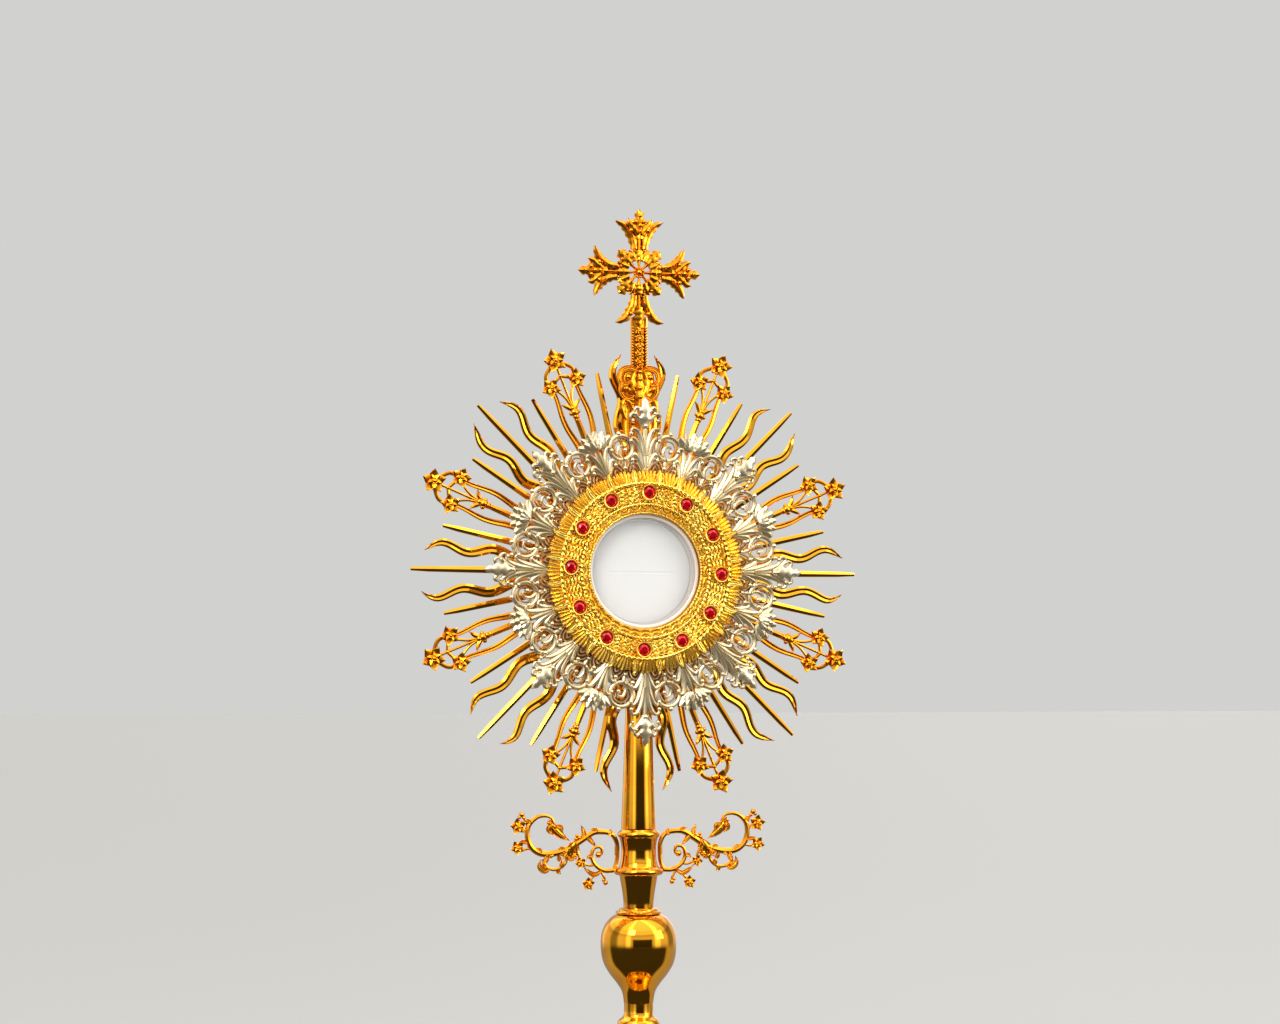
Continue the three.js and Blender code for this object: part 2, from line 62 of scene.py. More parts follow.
# ---- Mesh helpers ------------------------------------------------------------------------------
class Shape:
    """Gathers points (millimetres) and faces, then becomes one object."""

    def __init__(self):
        self.points, self.faces = [], []

    def add(self, points, faces):
        base = len(self.points)
        self.points.extend(map(tuple, points))
        self.faces.extend(tuple(base + i for i in face) for face in faces)
        return self

    def grid(self, rows, wrap_rows=False, wrap_columns=False):
        rows = np.asarray(rows, float)
        n, m = rows.shape[:2]
        faces = []
        for i in range(n if wrap_rows else n - 1):
            for j in range(m if wrap_columns else m - 1):
                a, b = i, (i + 1) % n
                c, d = j, (j + 1) % m
                faces.append((a * m + c, a * m + d, b * m + d, b * m + c))
        return self.add(rows.reshape(-1, 3), faces)

    def loft(self, rings):
        """Closed sections joined in order, with both ends capped."""
        rings = np.asarray(rings, float)
        n, m = rings.shape[:2]
        base = len(self.points)
        self.grid(rings, wrap_columns=True)
        self.faces.append(tuple(base + j for j in range(m))[::-1])
        self.faces.append(tuple(base + (n - 1) * m + j for j in range(m)))
        return self

    def copy(self, other, move=lambda p: p):
        return self.add([move(p) for p in other.points], other.faces)

    def object(self, name, material, body, nodes=(), slot=None, sharp=35, lift=0.0):
        """Makes the piece: its look, the body it rides and the CAD nodes it replaces. The slot argument is
        not used.
        """
        mesh = bpy.data.meshes.new(name)
        points = [(x * MM, y * MM, z * MM + lift) for x, y, z in self.points]
        mesh.from_pydata(points, [], self.faces)
        mesh.validate()
        mesh.update()
        bm = bmesh.new()
        bm.from_mesh(mesh)
        bmesh.ops.recalc_face_normals(bm, faces=bm.faces)
        bm.to_mesh(mesh)
        bm.free()
        if sharp:
            mesh.shade_smooth()
            mesh.set_sharp_from_angle(angle=math.radians(sharp))
        else:
            mesh.shade_flat()
        mesh.materials.append(material)
        piece = bpy.data.objects.new(name, mesh)
        bpy.context.scene.collection.objects.link(piece)
        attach(piece, body)
        if nodes:
            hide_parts(*nodes)
        return piece


def lathe(profile, sides=96, upright=True):
    """Turns [radius, height] points; upright turns about Z, otherwise about Y."""
    shape = Shape()
    outline = profile[:-1] if profile[0] == profile[-1] else profile
    rows = []
    for i in range(sides):
        x, z = math.sin(TAU * i / sides), math.cos(TAU * i / sides)
        if upright:
            rows.append([(r * x, -r * z, h) for r, h in outline])
        else:
            rows.append([(r * x, h, r * z) for r, h in outline])
    return shape.grid(rows, wrap_rows=True, wrap_columns=True)


def spline(points, count):
    """Catmull-Rom through 2-D or 3-D points, evenly spread."""
    p = np.asarray(points, float)
    p = np.vstack([2 * p[0] - p[1], p, 2 * p[-1] - p[-2]])
    out = []
    for i in range(1, len(p) - 2):
        a, b, c, d = p[i - 1 : i + 3]
        for t in np.linspace(0, 1, 24, endpoint=False):
            square, cube = 2 * a - 5 * b + 4 * c - d, 3 * b - a - 3 * c + d
            out.append(0.5 * (2 * b + (c - a) * t + square * t**2 + cube * t**3))
    out = np.array([*out, p[-2]])
    length = np.concatenate([[0], np.cumsum(np.linalg.norm(np.diff(out, axis=0), axis=1))])
    at = np.linspace(0, length[-1], count)
    return np.stack([np.interp(at, length, out[:, k]) for k in range(out.shape[1])], axis=1)


# Sections of a blade: u across it and v forward, both in shares of its half width and its height.
V_RIDGE = [(-1, 0), (-0.86, 0.42), (0, 1), (0.86, 0.42), (1, 0), (0, -0.4)]
GROOVED = [(-1, 0), (-0.92, 0.5), (-0.55, 0.9), (-0.05, 0.62), (0.5, 0.95), (0.92, 0.5), (1, 0),
           (0, -0.45)]
RIBBED = [(-1, 0), (-0.8, 0.6), (-0.5, 0.56), (-0.22, 0.95), (0, 0.84), (0.22, 0.95), (0.5, 0.56),
          (0.8, 0.6), (1, 0), (0, -0.4)]
ROUND = [(-1, 0), (-0.7, 0.7), (0, 1), (0.7, 0.7), (1, 0), (0.7, -0.7), (0, -1), (-0.7, -0.7)]


def blade(shape, path, half, height, y=0.0, section=V_RIDGE):
    """Sweeps a section along a path in the XZ plane. half, height and y may vary along it."""
    path = np.asarray(path, float)
    n = len(path)
    t = np.linspace(0, 1, n)
    half, height, y = ([float(f(s)) if callable(f) else float(f) for s in t] for f in (half, height, y))
    tangent = np.gradient(path, axis=0)
    tangent /= np.linalg.norm(tangent, axis=1, keepdims=True) + 1e-9
    across = np.stack([tangent[:, 1], -tangent[:, 0]], axis=1)
    rings = []
    for i in range(n):
        ring = []
        for u, v in section:
            q = path[i] + across[i] * u * half[i]
            ring.append((q[0], y[i] - v * height[i], q[1]))
        rings.append(ring)
    return shape.loft(rings)


def ball(shape, centre, radius, squash=1.0, rings=6, sides=10):
    """A ball, squashed along Y."""
    rows = []
    for i in range(rings + 1):
        a = math.pi * i / rings
        rows.append([(centre[0] + radius * math.sin(a) * math.sin(TAU * j / sides),
                      centre[1] - radius * squash * math.cos(a),
                      centre[2] + radius * math.sin(a) * math.cos(TAU * j / sides))
                     for j in range(sides)])
    return shape.grid(rows, wrap_columns=True)


def dot(shape, place, y, radius, squash=1.0, rings=6, sides=10):
    """A ball over a point of the XZ plane."""
    return ball(shape, (place[0], y, place[1]), radius, squash, rings, sides)


def polar(radius, degrees):
    """A point of the XZ plane, counted clockwise from the top as seen from the front."""
    a = math.radians(degrees)
    return np.array([radius * math.sin(a), radius * math.cos(a)])


def upward(low, high, count):
    """A path up the middle line."""
    return [(0, z) for z in np.linspace(low, high, count)]


def mirrored(points, side):
    """The points themselves for side 1, their mirror image for side -1."""
    return np.array(points, float) * (side, 1)


def swelling(width, start, span, stop=1.0, least=0.0):
    """A leaf's half width along its length: the stretch of a sine's hump from start to start + span."""
    return lambda s: width * math.sin(math.pi * min(stop, start + span * s)) + least


def tapering(width, share):
    """A width that loses a share of itself from foot to tip."""
    return lambda s: width * (1 - share * s)


def flower(shape, centre, radius, y, turn=0.0, petals=5, cup=0.3, boss=0.2):
    """A star of pointed petals, a smaller whorl of rounded ones in front, and a grained boss."""

    def star(s):
        return 0.58 * radius * min(1, 0.45 + s / 0.4) * (1 - max(0, (s - 0.28) / 0.72) ** 1.2) + 0.05

    inner = swelling(0.26 * radius, 0.2, 0.72, 1, 0.05)
    for size, lift, offset, half in ((1.12, 0.0, 0, star), (0.62, 0.34, 180 / petals, inner)):
        for k in range(petals):
            along = polar(1, turn + offset + k * 360 / petals)
            path = [centre + along * radius * size * s for s in np.linspace(0.06, 1, 8)]
            height = lambda s: 0.24 * radius * (1.1 - 0.8 * s)
            depth = lambda s: y - lift * radius - cup * radius * s * s * size
            blade(shape, path, half, height, depth, V_RIDGE)
    ball(shape, (centre[0], y - 0.5 * radius, centre[1]), boss * radius, 0.8)
    for k in range(5):
        q = centre + polar(boss * radius * 1.15, turn + 72 * k)
        ball(shape, (q[0], y - 0.5 * radius, q[1]), boss * radius * 0.5, 1, 4, 6)
    return shape


def disc(profile, sides=96):
    """Turns [radius, depth] points about the Y axis."""
    return lathe(profile, sides, upright=False)


def spin(degrees, up=0.0):
    """A move that turns points clockwise about the Y axis, seen from the front, and then lifts them."""
    c, s = math.cos(math.radians(degrees)), math.sin(math.radians(degrees))
    return lambda p: (p[0] * c + p[2] * s, p[1], -p[0] * s + p[2] * c + up)


def shift(x=0.0, y=0.0, z=0.0):
    return lambda p: (p[0] + x, p[1] + y, p[2] + z)


def rope(shape, radius, tube, count, y):
    """A twisted cord laid in a circle round the Y axis."""
    rows = []
    for i in range(count * 8):
        a = TAU * i / (count * 8)
        row = []
        for j in range(10):
            b = TAU * j / 10
            size = tube * (1 + 0.28 * math.cos(count * a + b))
            r = radius + size * math.cos(b)
            row.append((r * math.sin(a), y - size * math.sin(b), r * math.cos(a)))
        rows.append(row)
    return shape.grid(rows, wrap_rows=True, wrap_columns=True)


def block(shape, x, y, z, bevel=0.4):
    """A box between three pairs of limits, with its edges along X chamfered."""
    y0, y1, z0, z1 = *y, *z
    section = [(y0 + bevel, z0), (y1 - bevel, z0), (y1, z0 + bevel), (y1, z1 - bevel),
               (y1 - bevel, z1), (y0 + bevel, z1), (y0, z1 - bevel), (y0, z0 + bevel)]
    return shape.loft([[(a, b, c) for b, c in section] for a in x])


# ---- Materials ---------------------------------------------------------------------------------
def ramp(nodes, stops):
    made = nodes.new("ShaderNodeValToRGB")
    elements = made.color_ramp.elements
    while len(elements) < len(stops):
        elements.new(0.5)
    for element, (position, colour) in zip(elements, stops):
        element.position = position
        element.color = (*colour, 1)
    return made


class Look:
    """A procedural material in the making. Its patterns lie in the object's own space."""

    def __init__(self, name):
        self.material = bpy.data.materials.new(name)
        self.material.use_nodes = True
        self.nodes, self.links = self.material.node_tree.nodes, self.material.node_tree.links
        self.shader = self.nodes["Principled BSDF"]
        self.where = self.nodes.new("ShaderNodeTexCoord").outputs["Object"]

    def constants(self, **values):
        for name, value in values.items():
            self.shader.inputs[name.replace("_", " ")].default_value = value

    def noise(self, scale, detail=2.0):
        made = self.nodes.new("ShaderNodeTexNoise")
        made.inputs["Scale"].default_value = scale
        made.inputs["Detail"].default_value = detail
        self.links.new(self.where, made.inputs["Vector"])
        return made.outputs["Fac"]

    def tones(self, value, stops):
        made = ramp(self.nodes, stops)
        self.links.new(value, made.inputs["Fac"])
        return made.outputs["Color"]

    def bump(self, value, strength, distance, under=None):
        """Adds relief to the surface; under is the output of a coarser or finer relief below it."""
        made = self.nodes.new("ShaderNodeBump")
        made.inputs["Strength"].default_value = strength
        made.inputs["Distance"].default_value = distance
        self.links.new(value, made.inputs["Height"])
        if under:
            self.links.new(under, made.inputs["Normal"])
        self.links.new(made.outputs["Normal"], self.shader.inputs["Normal"])
        return made.outputs["Normal"]

    def colour(self, value):
        self.links.new(value, self.shader.inputs["Base Color"])


def metal(name, bright, deep, rough, grain, bump, painted_recess_shade=None, hammer=0.0, metallic=1.0):
    """Plated metal that drifts between two tones, with a fine grain. The optional argument after bump
    paints shade into the colour: a dark colour for the crevices, how far the occlusion test looks for a
    wall, and the two occlusion levels between which the colour darkens."""
    look = Look(name)
    look.constants(Metallic=metallic)
    colour = look.tones(look.noise(45, 4), [(0.32, deep), (0.68, bright)])
    spread = look.nodes.new("ShaderNodeMapRange")
    spread.inputs["To Min"].default_value, spread.inputs["To Max"].default_value = rough
    look.links.new(look.noise(160, 3), spread.inputs["Value"])
    look.links.new(spread.outputs["Result"], look.shader.inputs["Roughness"])
    # Painted shade: the colour is pulled towards a dark colour wherever ambient occlusion finds nearby
    # walls, standing in for shade in crevices.
    if painted_recess_shade:
        painted_shade_colour, reach, darkest, open_air = painted_recess_shade
        shade = look.nodes.new("ShaderNodeAmbientOcclusion")
        shade.samples = 6
        shade.inputs["Distance"].default_value = reach
        level = look.tones(shade.outputs["AO"], [(darkest, (0, 0, 0)), (open_air, (1, 1, 1))])
        blend = look.nodes.new("ShaderNodeMix")
        blend.data_type = "RGBA"
        blend.inputs["A"].default_value = (*painted_shade_colour, 1)
        look.links.new(level, blend.inputs["Factor"])
        look.links.new(colour, blend.inputs["B"])
        colour = blend.outputs["Result"]
    look.colour(colour)
    relief = look.bump(look.noise(grain, 5), bump, 0.0002)
    if hammer:
        cells = look.nodes.new("ShaderNodeTexVoronoi")
        cells.inputs["Scale"].default_value = 700
        look.links.new(look.where, cells.inputs["Vector"])
        look.bump(cells.outputs["Distance"], hammer, 0.0004, relief)
    return look.material


GOLD = metal("gold_polished", (0.92, 0.43, 0.03), (0.82, 0.34, 0.018), (0.05, 0.12), 500, 0.03)
# The cast, chased and silver looks darken their colour in crevices by ambient occlusion: painted shade.
CAST = metal("gold_cast", (0.95, 0.38, 0.02), (0.82, 0.29, 0.012), (0.2, 0.34), 700, 0.08,
             painted_recess_shade=((0.34, 0.10, 0.006), 0.003, 0.12, 0.5))
CHASED = metal("gold_chased", (1.0, 0.72, 0.15), (1.0, 0.58, 0.06), (0.12, 0.26), 900, 0.12,
               painted_recess_shade=((0.55, 0.22, 0.012), 0.0014, 0.05, 0.5), hammer=0.2, metallic=0.86)
SILVER = metal("silver_antique", (0.82, 0.71, 0.48), (0.70, 0.58, 0.35), (0.26, 0.4), 900, 0.06,
               painted_recess_shade=((0.36, 0.15, 0.035), 0.0028, 0.16, 0.58), metallic=0.88)
BRASS = metal("brass_plain", (0.80, 0.56, 0.22), (0.70, 0.46, 0.15), (0.25, 0.4), 900, 0.2)


def ruby():
    look = Look("red_stone")
    look.colour(look.tones(look.noise(380), [(0.3, (0.33, 0.0, 0.004)), (0.7, (0.80, 0.003, 0.012))]))
    look.constants(Roughness=0.04, IOR=1.6, Specular_IOR_Level=0.9, Metallic=0.55)
    return look.material


def clear(name, tint, alpha, rough):
    look = Look(name)
    look.colour(look.tones(look.noise(60), [(0.0, tuple(0.96 * c for c in tint)), (1.0, tint)]))
    look.constants(Roughness=rough, Alpha=alpha, Specular_IOR_Level=0.8)
    return look.material


def wafer():
    look = Look("wafer_white")
    crumb = look.noise(1400, 6)
    look.colour(look.tones(crumb, [(0.3, (0.74, 0.735, 0.715)), (0.7, (0.80, 0.80, 0.785))]))
    look.constants(Roughness=0.75)
    look.bump(crumb, 0.15, 0.0002)
    return look.material


def felt():
    look = Look("green_felt")
    fuzz = look.noise(900, 8)
    look.colour(look.tones(fuzz, [(0.3, (0.02, 0.05, 0.018)), (0.7, (0.06, 0.11, 0.045))]))
    look.constants(Roughness=0.95, Sheen_Weight=0.5)
    look.bump(fuzz, 0.6, 0.0005)
    return look.material


RUBY, WAFER, FELT = ruby(), wafer(), felt()
GLASS = clear("clear_glass", (1, 1, 1), 0.07, 0.02)
RIM = clear("clear_rim", (0.84, 0.75, 0.67), 0.92, 0.12)

# ---- Foot and stem -----------------------------------------------------------------------------
ROOT, DOOR, LUNA, LATCH = "stand", "door", "luna", "latch"


def smooth_line(points, count=40):
    return [tuple(p) for p in spline(points, count)]


lathe([(0.5, 0), (85.5, 0), (86, 0.4), (86, 1.1), (85.6, 1.5), (0.5, 1.5)], 96).object(
    "felt_sole", FELT, ROOT, ["felt_pad"], "felt")
lathe([(14, 1.8), (83.2, 1.8), (83.2, 3.6), (14, 3.6)], 96).object(
    "sole_plate", BRASS, ROOT, ["base_plate"], "plain_brass")


def foot():
    """The moulded rim with its row of beads."""
    turning = [(84, 2), (87, 2), (90.3, 2.2), (91.6, 3.2), (92, 4.6), (91.6, 6.2), (90.4, 7.3),
               (88.6, 7.9), (87.2, 8.3), (86.8, 9), (87.2, 9.8), (87.9, 10.8), (87.8, 12.2), (86.9, 13.4),
               (85.5, 14), (80.5, 14)]
    rim = lathe(turning, 160)
    beads = 120
    for k in range(beads):
        x, y = polar(86.6, 360 * k / beads)
        ball(rim, (x, y, 9.1), 1.25, 1, 5, 8)
    rim.object("foot_moulding", GOLD, ROOT, ["foot_rim"], "gold", 40)


foot()

CROWN = [(79, 19.5), (72, 31), (58, 42.5), (42, 50), (29, 58.5), (21, 70), (17.5, 88)]


def dome():
    outer = [(85, 14.3), (84.6, 16), (83, 17.2), (81.2, 17.6), (80.2, 18.3), *smooth_line(CROWN, 46)]
    profile = [*outer, (17.4, 88), (4.3, 88), (4.3, 84), (15.8, 84), (19.2, 68.2), (27.2, 56.7),
               (40.2, 48.2), (56.2, 40.7), (70.2, 29.2), (77.2, 17.7), (81, 14.3)]
    lathe(profile, 192).object("foot_dome", GOLD, ROOT, ["base_dome"], "gold", 40)


dome()


def on_dome(radius):
    """Height and slope of the dome at a radius."""
    crown = spline(CROWN, 80)[::-1]
    z = float(np.interp(radius, crown[:, 0], crown[:, 1]))
    dz = float(np.interp(radius + 0.5, crown[:, 0], crown[:, 1])) - z
    return z, math.atan2(-dz, 0.5)


def dome_ornament():
    """Chased sprays laid on the dome: a heart of two scrolls with a leaf and a bud, eight times round."""
    flat = Shape()
    for side in (1, -1):
        heart = [(0, -13), (7, -6), (12, 2), (11, 9), (5.5, 10.5), (1.5, 6.5), (4.2, 3.4)]
        blade(flat, spline(mirrored(heart, side), 26), tapering(1.5, 0.45), tapering(1.5, 0.4), 0, RIBBED)
        blade(flat, spline(mirrored([(9.5, -4), (15, -1), (18.5, 5), (17, 11)], side), 12),
              swelling(2.2, 0.1, 0.88, 0.98), 1.3, 0, V_RIDGE)
        blade(flat, spline(mirrored([(4, -11), (10, -13), (16, -10), (20, -11)], side), 12),
              swelling(1.9, 0.1, 0.88, 0.98), 1.2, 0, V_RIDGE)
    blade(flat, upward(-8, 6, 10), swelling(2.4, 0.04, 0.94), 1.6, 0, RIBBED)
    flower(flat, np.array([0.0, 13.0]), 4.2, 0.4)
    relief = Shape()
    for k in range(8):

        def wrap(p, k=k):
            radius = 62 - p[2] * 0.95
            z, slope = on_dome(radius)
            out = -p[1] + 0.1
            r = radius + out * math.sin(slope)
            a = math.radians(45 * k) + p[0] / radius
            return (r * math.sin(a), -r * math.cos(a), z + out * math.cos(slope))

        relief.copy(flat, wrap)
    beads, circle = 72, 35
    height = on_dome(circle)[0] + 0.4
    for k in range(beads):
        a = TAU * k / beads
        ball(relief, (circle * math.sin(a), -circle * math.cos(a), height), 1.15, 1, 5, 8)
    relief.object("dome_relief", CHASED, ROOT, (), "chased_gold", 50)


dome_ornament()

STEM_FLARE = smooth_line([(15.2, 97.4), (12.6, 103), (10.8, 110), (9.9, 118), (9.8, 122)], 22)
STEM = [(5, 88.3), (17, 88.3), (18.6, 88.9), (19.4, 90.2), (19.6, 91.8), (19.2, 93.3), (18, 94.4),
        (16.4, 95), (15.8, 95.8), (15.6, 96.8), *STEM_FLARE, (10.6, 122.8), (11.2, 123.6), (12.6, 124.4),
        (13.8, 125.8), (14.3, 127.5), (13.8, 129.2), (12.6, 130.6), (11.2, 131.4), (10.6, 132.2),
        (9.9, 133), (9.8, 136), (9.8, 141.2), (5, 141.2)]
lathe(STEM, 128).object("stem_foot", GOLD, ROOT, ["lower_stem"], "gold", 40)

PEAR = [(10, 141.5), (10.4, 145), (11.6, 149.5), (14.8, 154.5), (19.6, 160.6), (23.4, 167.2),
        (25.2, 174.5), (25.6, 182), (24.9, 188), (22.6, 193.6), (19, 198), (15.6, 200.2)]
PEAR_WALL = [(14, 200.5), (12.6, 200.5), (18, 196), (23.6, 182), (20.5, 167), (8, 147.5), (6, 141.5)]
lathe([*smooth_line(PEAR, 60), *PEAR_WALL], 160).object("pear_knop", GOLD, ROOT, ["knop"], "gold", 40)

CAP = [(5, 200.8), (15, 200.8), (15.5, 201.3), (15.5, 202), (15, 202.5), (13.7, 202.7), (13.3, 203.2),
       (13.2, 204), (12.2, 204.3), (11.4, 204.7), (5, 204.7)]
lathe(CAP, 128).object("knop_cap_rings", GOLD, ROOT, ["knop_cap"], "gold", 30)

NECK = smooth_line([(10.2, 205), (10.3, 209), (10.9, 214.5), (12, 221), (12.9, 226.2)], 20)
lathe([(5, 205), *NECK, (5, 226.2)], 128).object("neck_turning", GOLD, ROOT, ["neck"], "gold", 40)

WAIST = [(13.3, 232.2), (12.3, 235.5), (11.8, 240), (11.7, 243.5), (12.1, 248), (13, 251.6)]
SPOOL = [(5, 226.5), (14, 226.5), (15.6, 226.9), (16.4, 227.8), (16.6, 229), (16.3, 230.2), (15.4, 231.1),
         (13.9, 231.6), *smooth_line(WAIST, 22), (13.7, 252.2), (14.2, 253), (14.3, 254.2), (13.9, 255.3),
         (13, 256), (12.2, 257), (5, 257)]
lathe(SPOOL, 128).object("collar_spool", GOLD, ROOT, ["collar"], "gold", 35)
lathe([(11.7, 257.3), (11.75, 258), (8.45, 351.5), (8.3, 352), (6.9, 352), (10.1, 257.3)], 128).object(
    "stem_tube", GOLD, ROOT, ["upper_stem"], "gold", 40)


# ---- Scroll arms -------------------------------------------------------------------------------
def scroll_arm():
    """The right arm: a vine in an S with a volute at its foot, leaves, twigs, flowers and berries."""
    arm = Shape()
    spine = [(17.6, 229.6), (15.4, 236), (14.9, 243), (15.6, 249), (19, 254.2), (25, 255.8), (32, 255.3),
             (40, 250.5), (49, 245), (59, 242), (68, 242), (74.5, 246), (77.5, 253), (76.5, 261),
             (70, 266.6), (62, 266.3), (59, 261), (61, 258)]

    def swell(s):
        return 1.45 + 0.75 * math.sin(math.pi * s) ** 2 - 0.7 * max(0, s - 0.8) / 0.2

    blade(arm, spline(spine, 110), swell, swell, 0, ROUND)
    volute = [(17.6, 230), (24, 230), (30, 233.4), (33, 239), (31.4, 244.8), (26.8, 245.6), (25.8, 241.8),
              (28, 240.2)]
    narrowing = lambda s: 1.7 - 0.7 * s
    blade(arm, spline(volute, 50), narrowing, narrowing, 0, ROUND)
    ball(arm, (28.2, 0, 240.6), 2.2)

    def leaf(points, width, y=-0.6, height=1.6, count=18):
        blade(arm, spline(points, count),
              lambda s: width * max(math.sin(math.pi * min(1, 0.08 + 0.92 * s) ** 0.9), 0.04),
              tapering(height, 0.5), y, RIBBED)

    leaf([(63, 264), (60.6, 260.4), (57.4, 256.4), (52.4, 252.6), (48.5, 250.4)], 3.0)
    leaf([(60.4, 262), (63, 258), (60.2, 254.4)], 2.1, -1.2)
    leaf([(58.6, 260), (55, 259.4), (53.6, 255.8)], 1.8, -1.2)
    leaf([(43.5, 250), (47, 245.6), (50.6, 241.4), (53.6, 238)], 3.5, -1.0)
    leaf([(46, 247.6), (45.2, 242.4), (46.6, 238.4)], 2.2, -0.8)
    leaf([(50, 244.6), (53, 241.8), (57, 242.2)], 2.0, -0.8)
    hook = [(50.6, 241), (51, 236), (55, 232.2), (60.6, 231.4), (65.4, 234), (66.4, 238.4)]
    blade(arm, spline(hook, 26), 1.15, 1.15, 0, ROUND)
    leaf([(62, 231.6), (66, 230.6), (69.4, 233.6), (68.6, 238.4)], 2.1, -0.9)
    leaf([(66.4, 235), (64.6, 238.4), (66.2, 241.6)], 1.8, -0.9)
    leaf([(31, 247), (34.6, 251), (38.8, 255), (40.6, 259)], 1.9)
    leaf([(39.5, 250.6), (38.6, 255.5), (40.6, 260.5)], 1.7)
    leaf([(77, 249), (81.5, 250), (84.5, 247.5)], 1.5)
    leaf([(26, 229.8), (31, 227.5), (36, 230), (39, 233)], 1.8)
    for x, z, turn, size in ((21, 253.2, -20, 5), (29, 256, 60, 5.5), (52, 244.4, 70, 5),
                             (60, 241.4, 120, 5), (68, 242.6, 40, 5.5),
                             (44, 247.6, 200, 5), (56.5, 240.6, 200, 6), (50, 240, 230, 6),
                             (53, 236, 150, 5), (33, 240, 110, 4.5),
                             (75.4, 262.6, 60, 5), (57, 231.8, 200, 4.5), (64.6, 232.6, 60, 5)):
        foot, a = np.array([x, z]), polar(1, turn)
        line = [foot, foot + a * size * 0.5, foot + a * size * 0.8 + polar(1, turn + 60)]
        leaf(line, 1.7, -0.9, 1.5, 8)
    for twig in ([(77.3, 255), (80.5, 259), (84, 260.4)], [(77, 259), (79, 264), (81.4, 267.6)],
                 [(74.5, 246), (80, 245), (84.6, 246.3)], [(46, 247), (42.5, 242), (41, 237)],
                 [(24, 229.8), (31, 226.8), (35.4, 221.8)], [(36.6, 252.6), (39, 253.6), (41.6, 252.4)],
                 [(31, 233.8), (35, 233.6), (38.8, 235.2)], [(26, 228.6), (24, 225), (23.6, 222.4)]):
        blade(arm, spline(twig, 10), 0.85, 0.85, 0, ROUND)
    for (x, z), radius, turn in (((84.3, 260.4), 5.2, 10), ((84.6, 246.2), 4.6, 30),
                                 ((35.6, 221.2), 4.2, 0), ((41, 235.4), 3.8, 20),
                                 ((45.5, 240.4), 3.0, 0)):
        flower(arm, np.array([x, z]), radius, -0.8, turn)
    for x, z, r in ((81.6, 268.2, 1.9), (80.2, 266, 1.3), (83.2, 266.4, 1.3), (41.8, 252.2, 1.5),
                    (44, 251.4, 1.3), (43.4, 253.6, 1.2), (23.4, 221.8, 1.7), (24.9, 223.6, 1.1),
                    (61.6, 260, 1.5), (59, 257.6, 1.3), (63, 262.4, 1.3), (64.2, 240.6, 1.4),
                    (48.6, 243.4, 1.5)):
        ball(arm, (x, -0.6, z), r)
    blade(arm, [(15.2, 240), (15.2, 246)], 1.7, 1.7, 0, ROUND)
    return arm


right_arm = scroll_arm()
right_arm.object("scroll_arm_on_right", CAST, ROOT, ["scroll_arm_right"], "gold", 40)
Shape().copy(right_arm, lambda p: (-p[0], p[1], p[2])).object(
    "scroll_arm_on_left", CAST, ROOT, ["scroll_arm_left"], "gold", 40)


# ---- Rays --------------------------------------------------------------------------------------
def straight_ray(shape, degrees, tip, y):
    """Tapers a little to a blunt end."""
    path = [polar(r, degrees) for r in np.linspace(60, tip, 9)]
    half = lambda s: (2.8 - 1.05 * s) * (1 if s < 0.99 else 0.7)
    blade(shape, path, half, lambda s: 2.1 - 0.7 * s, y, V_RIDGE)


def wavy_ray(shape, degrees, tip, side, y, waves=2.6, width=1.0):
    """Undulates along its length; its pointed tip hooks to one side."""
    foot_radius = 60
    path = []
    along, across = polar(1, degrees), polar(1, degrees + 90)
    for s in np.linspace(0, 1, 64):
        wave = 2.3 * width * math.sin(TAU * waves * s + 0.4) * min(1, 3 * s)
        sway = wave - 3.4 * max(0, s - 0.86) ** 2 / 0.0196
        path.append(along * (foot_radius + s * (tip - foot_radius)) + across * side * sway)

    def half(s):
        tip_share = 1 - max(0, (s - 0.84) / 0.16) ** 2.2
        return width * ((3.8 + 0.5 * math.sin(math.pi * s)) * (1 - 0.4 * s) * tip_share + 0.08)

    blade(shape, path, half, lambda s: width * (2.9 - 1.4 * s), y, GROOVED)


def ray_foot(shape, middle, reach, count):
    """The curved foot behind the leaf fringe that a group of rays stands on."""
    line = [polar(63, middle + a) for a in np.linspace(-reach, reach, count)]
    blade(shape, line, 4.9, 0.9, RAY_FRONT + 1.2, V_RIDGE)


def ray_group(index):
    """Two wavy rays, a straight one outside each, and one between them except at the top and bottom."""
    middle = 45 * index
    fan = Shape()
    front = RAY_FRONT + 0.6
    for side in (-1, 1):
        spread = 8.9 if index == 4 else 6.5
        wobble = random.uniform(-0.35, 0.35)
        tip = 150 + random.uniform(-1.5, 1.5)
        waves = 2.55 + random.uniform(-0.15, 0.15)
        wavy_ray(fan, middle + side * spread + wobble, tip, side, front, waves)
        lean = middle + side * (12.3 + random.uniform(-0.3, 0.3))
        straight_ray(fan, lean, 138 + random.uniform(-1, 1), front)
    if index not in (0, 4):
        straight_ray(fan, middle + random.uniform(-0.3, 0.3), 157.5, front)
    ray_foot(fan, middle, 14.9, 24)
    fan.object(f"rays_{index + 1}", GOLD, ROOT, [f"ray_fan_{index + 1}"], "gold", 28, SUN)


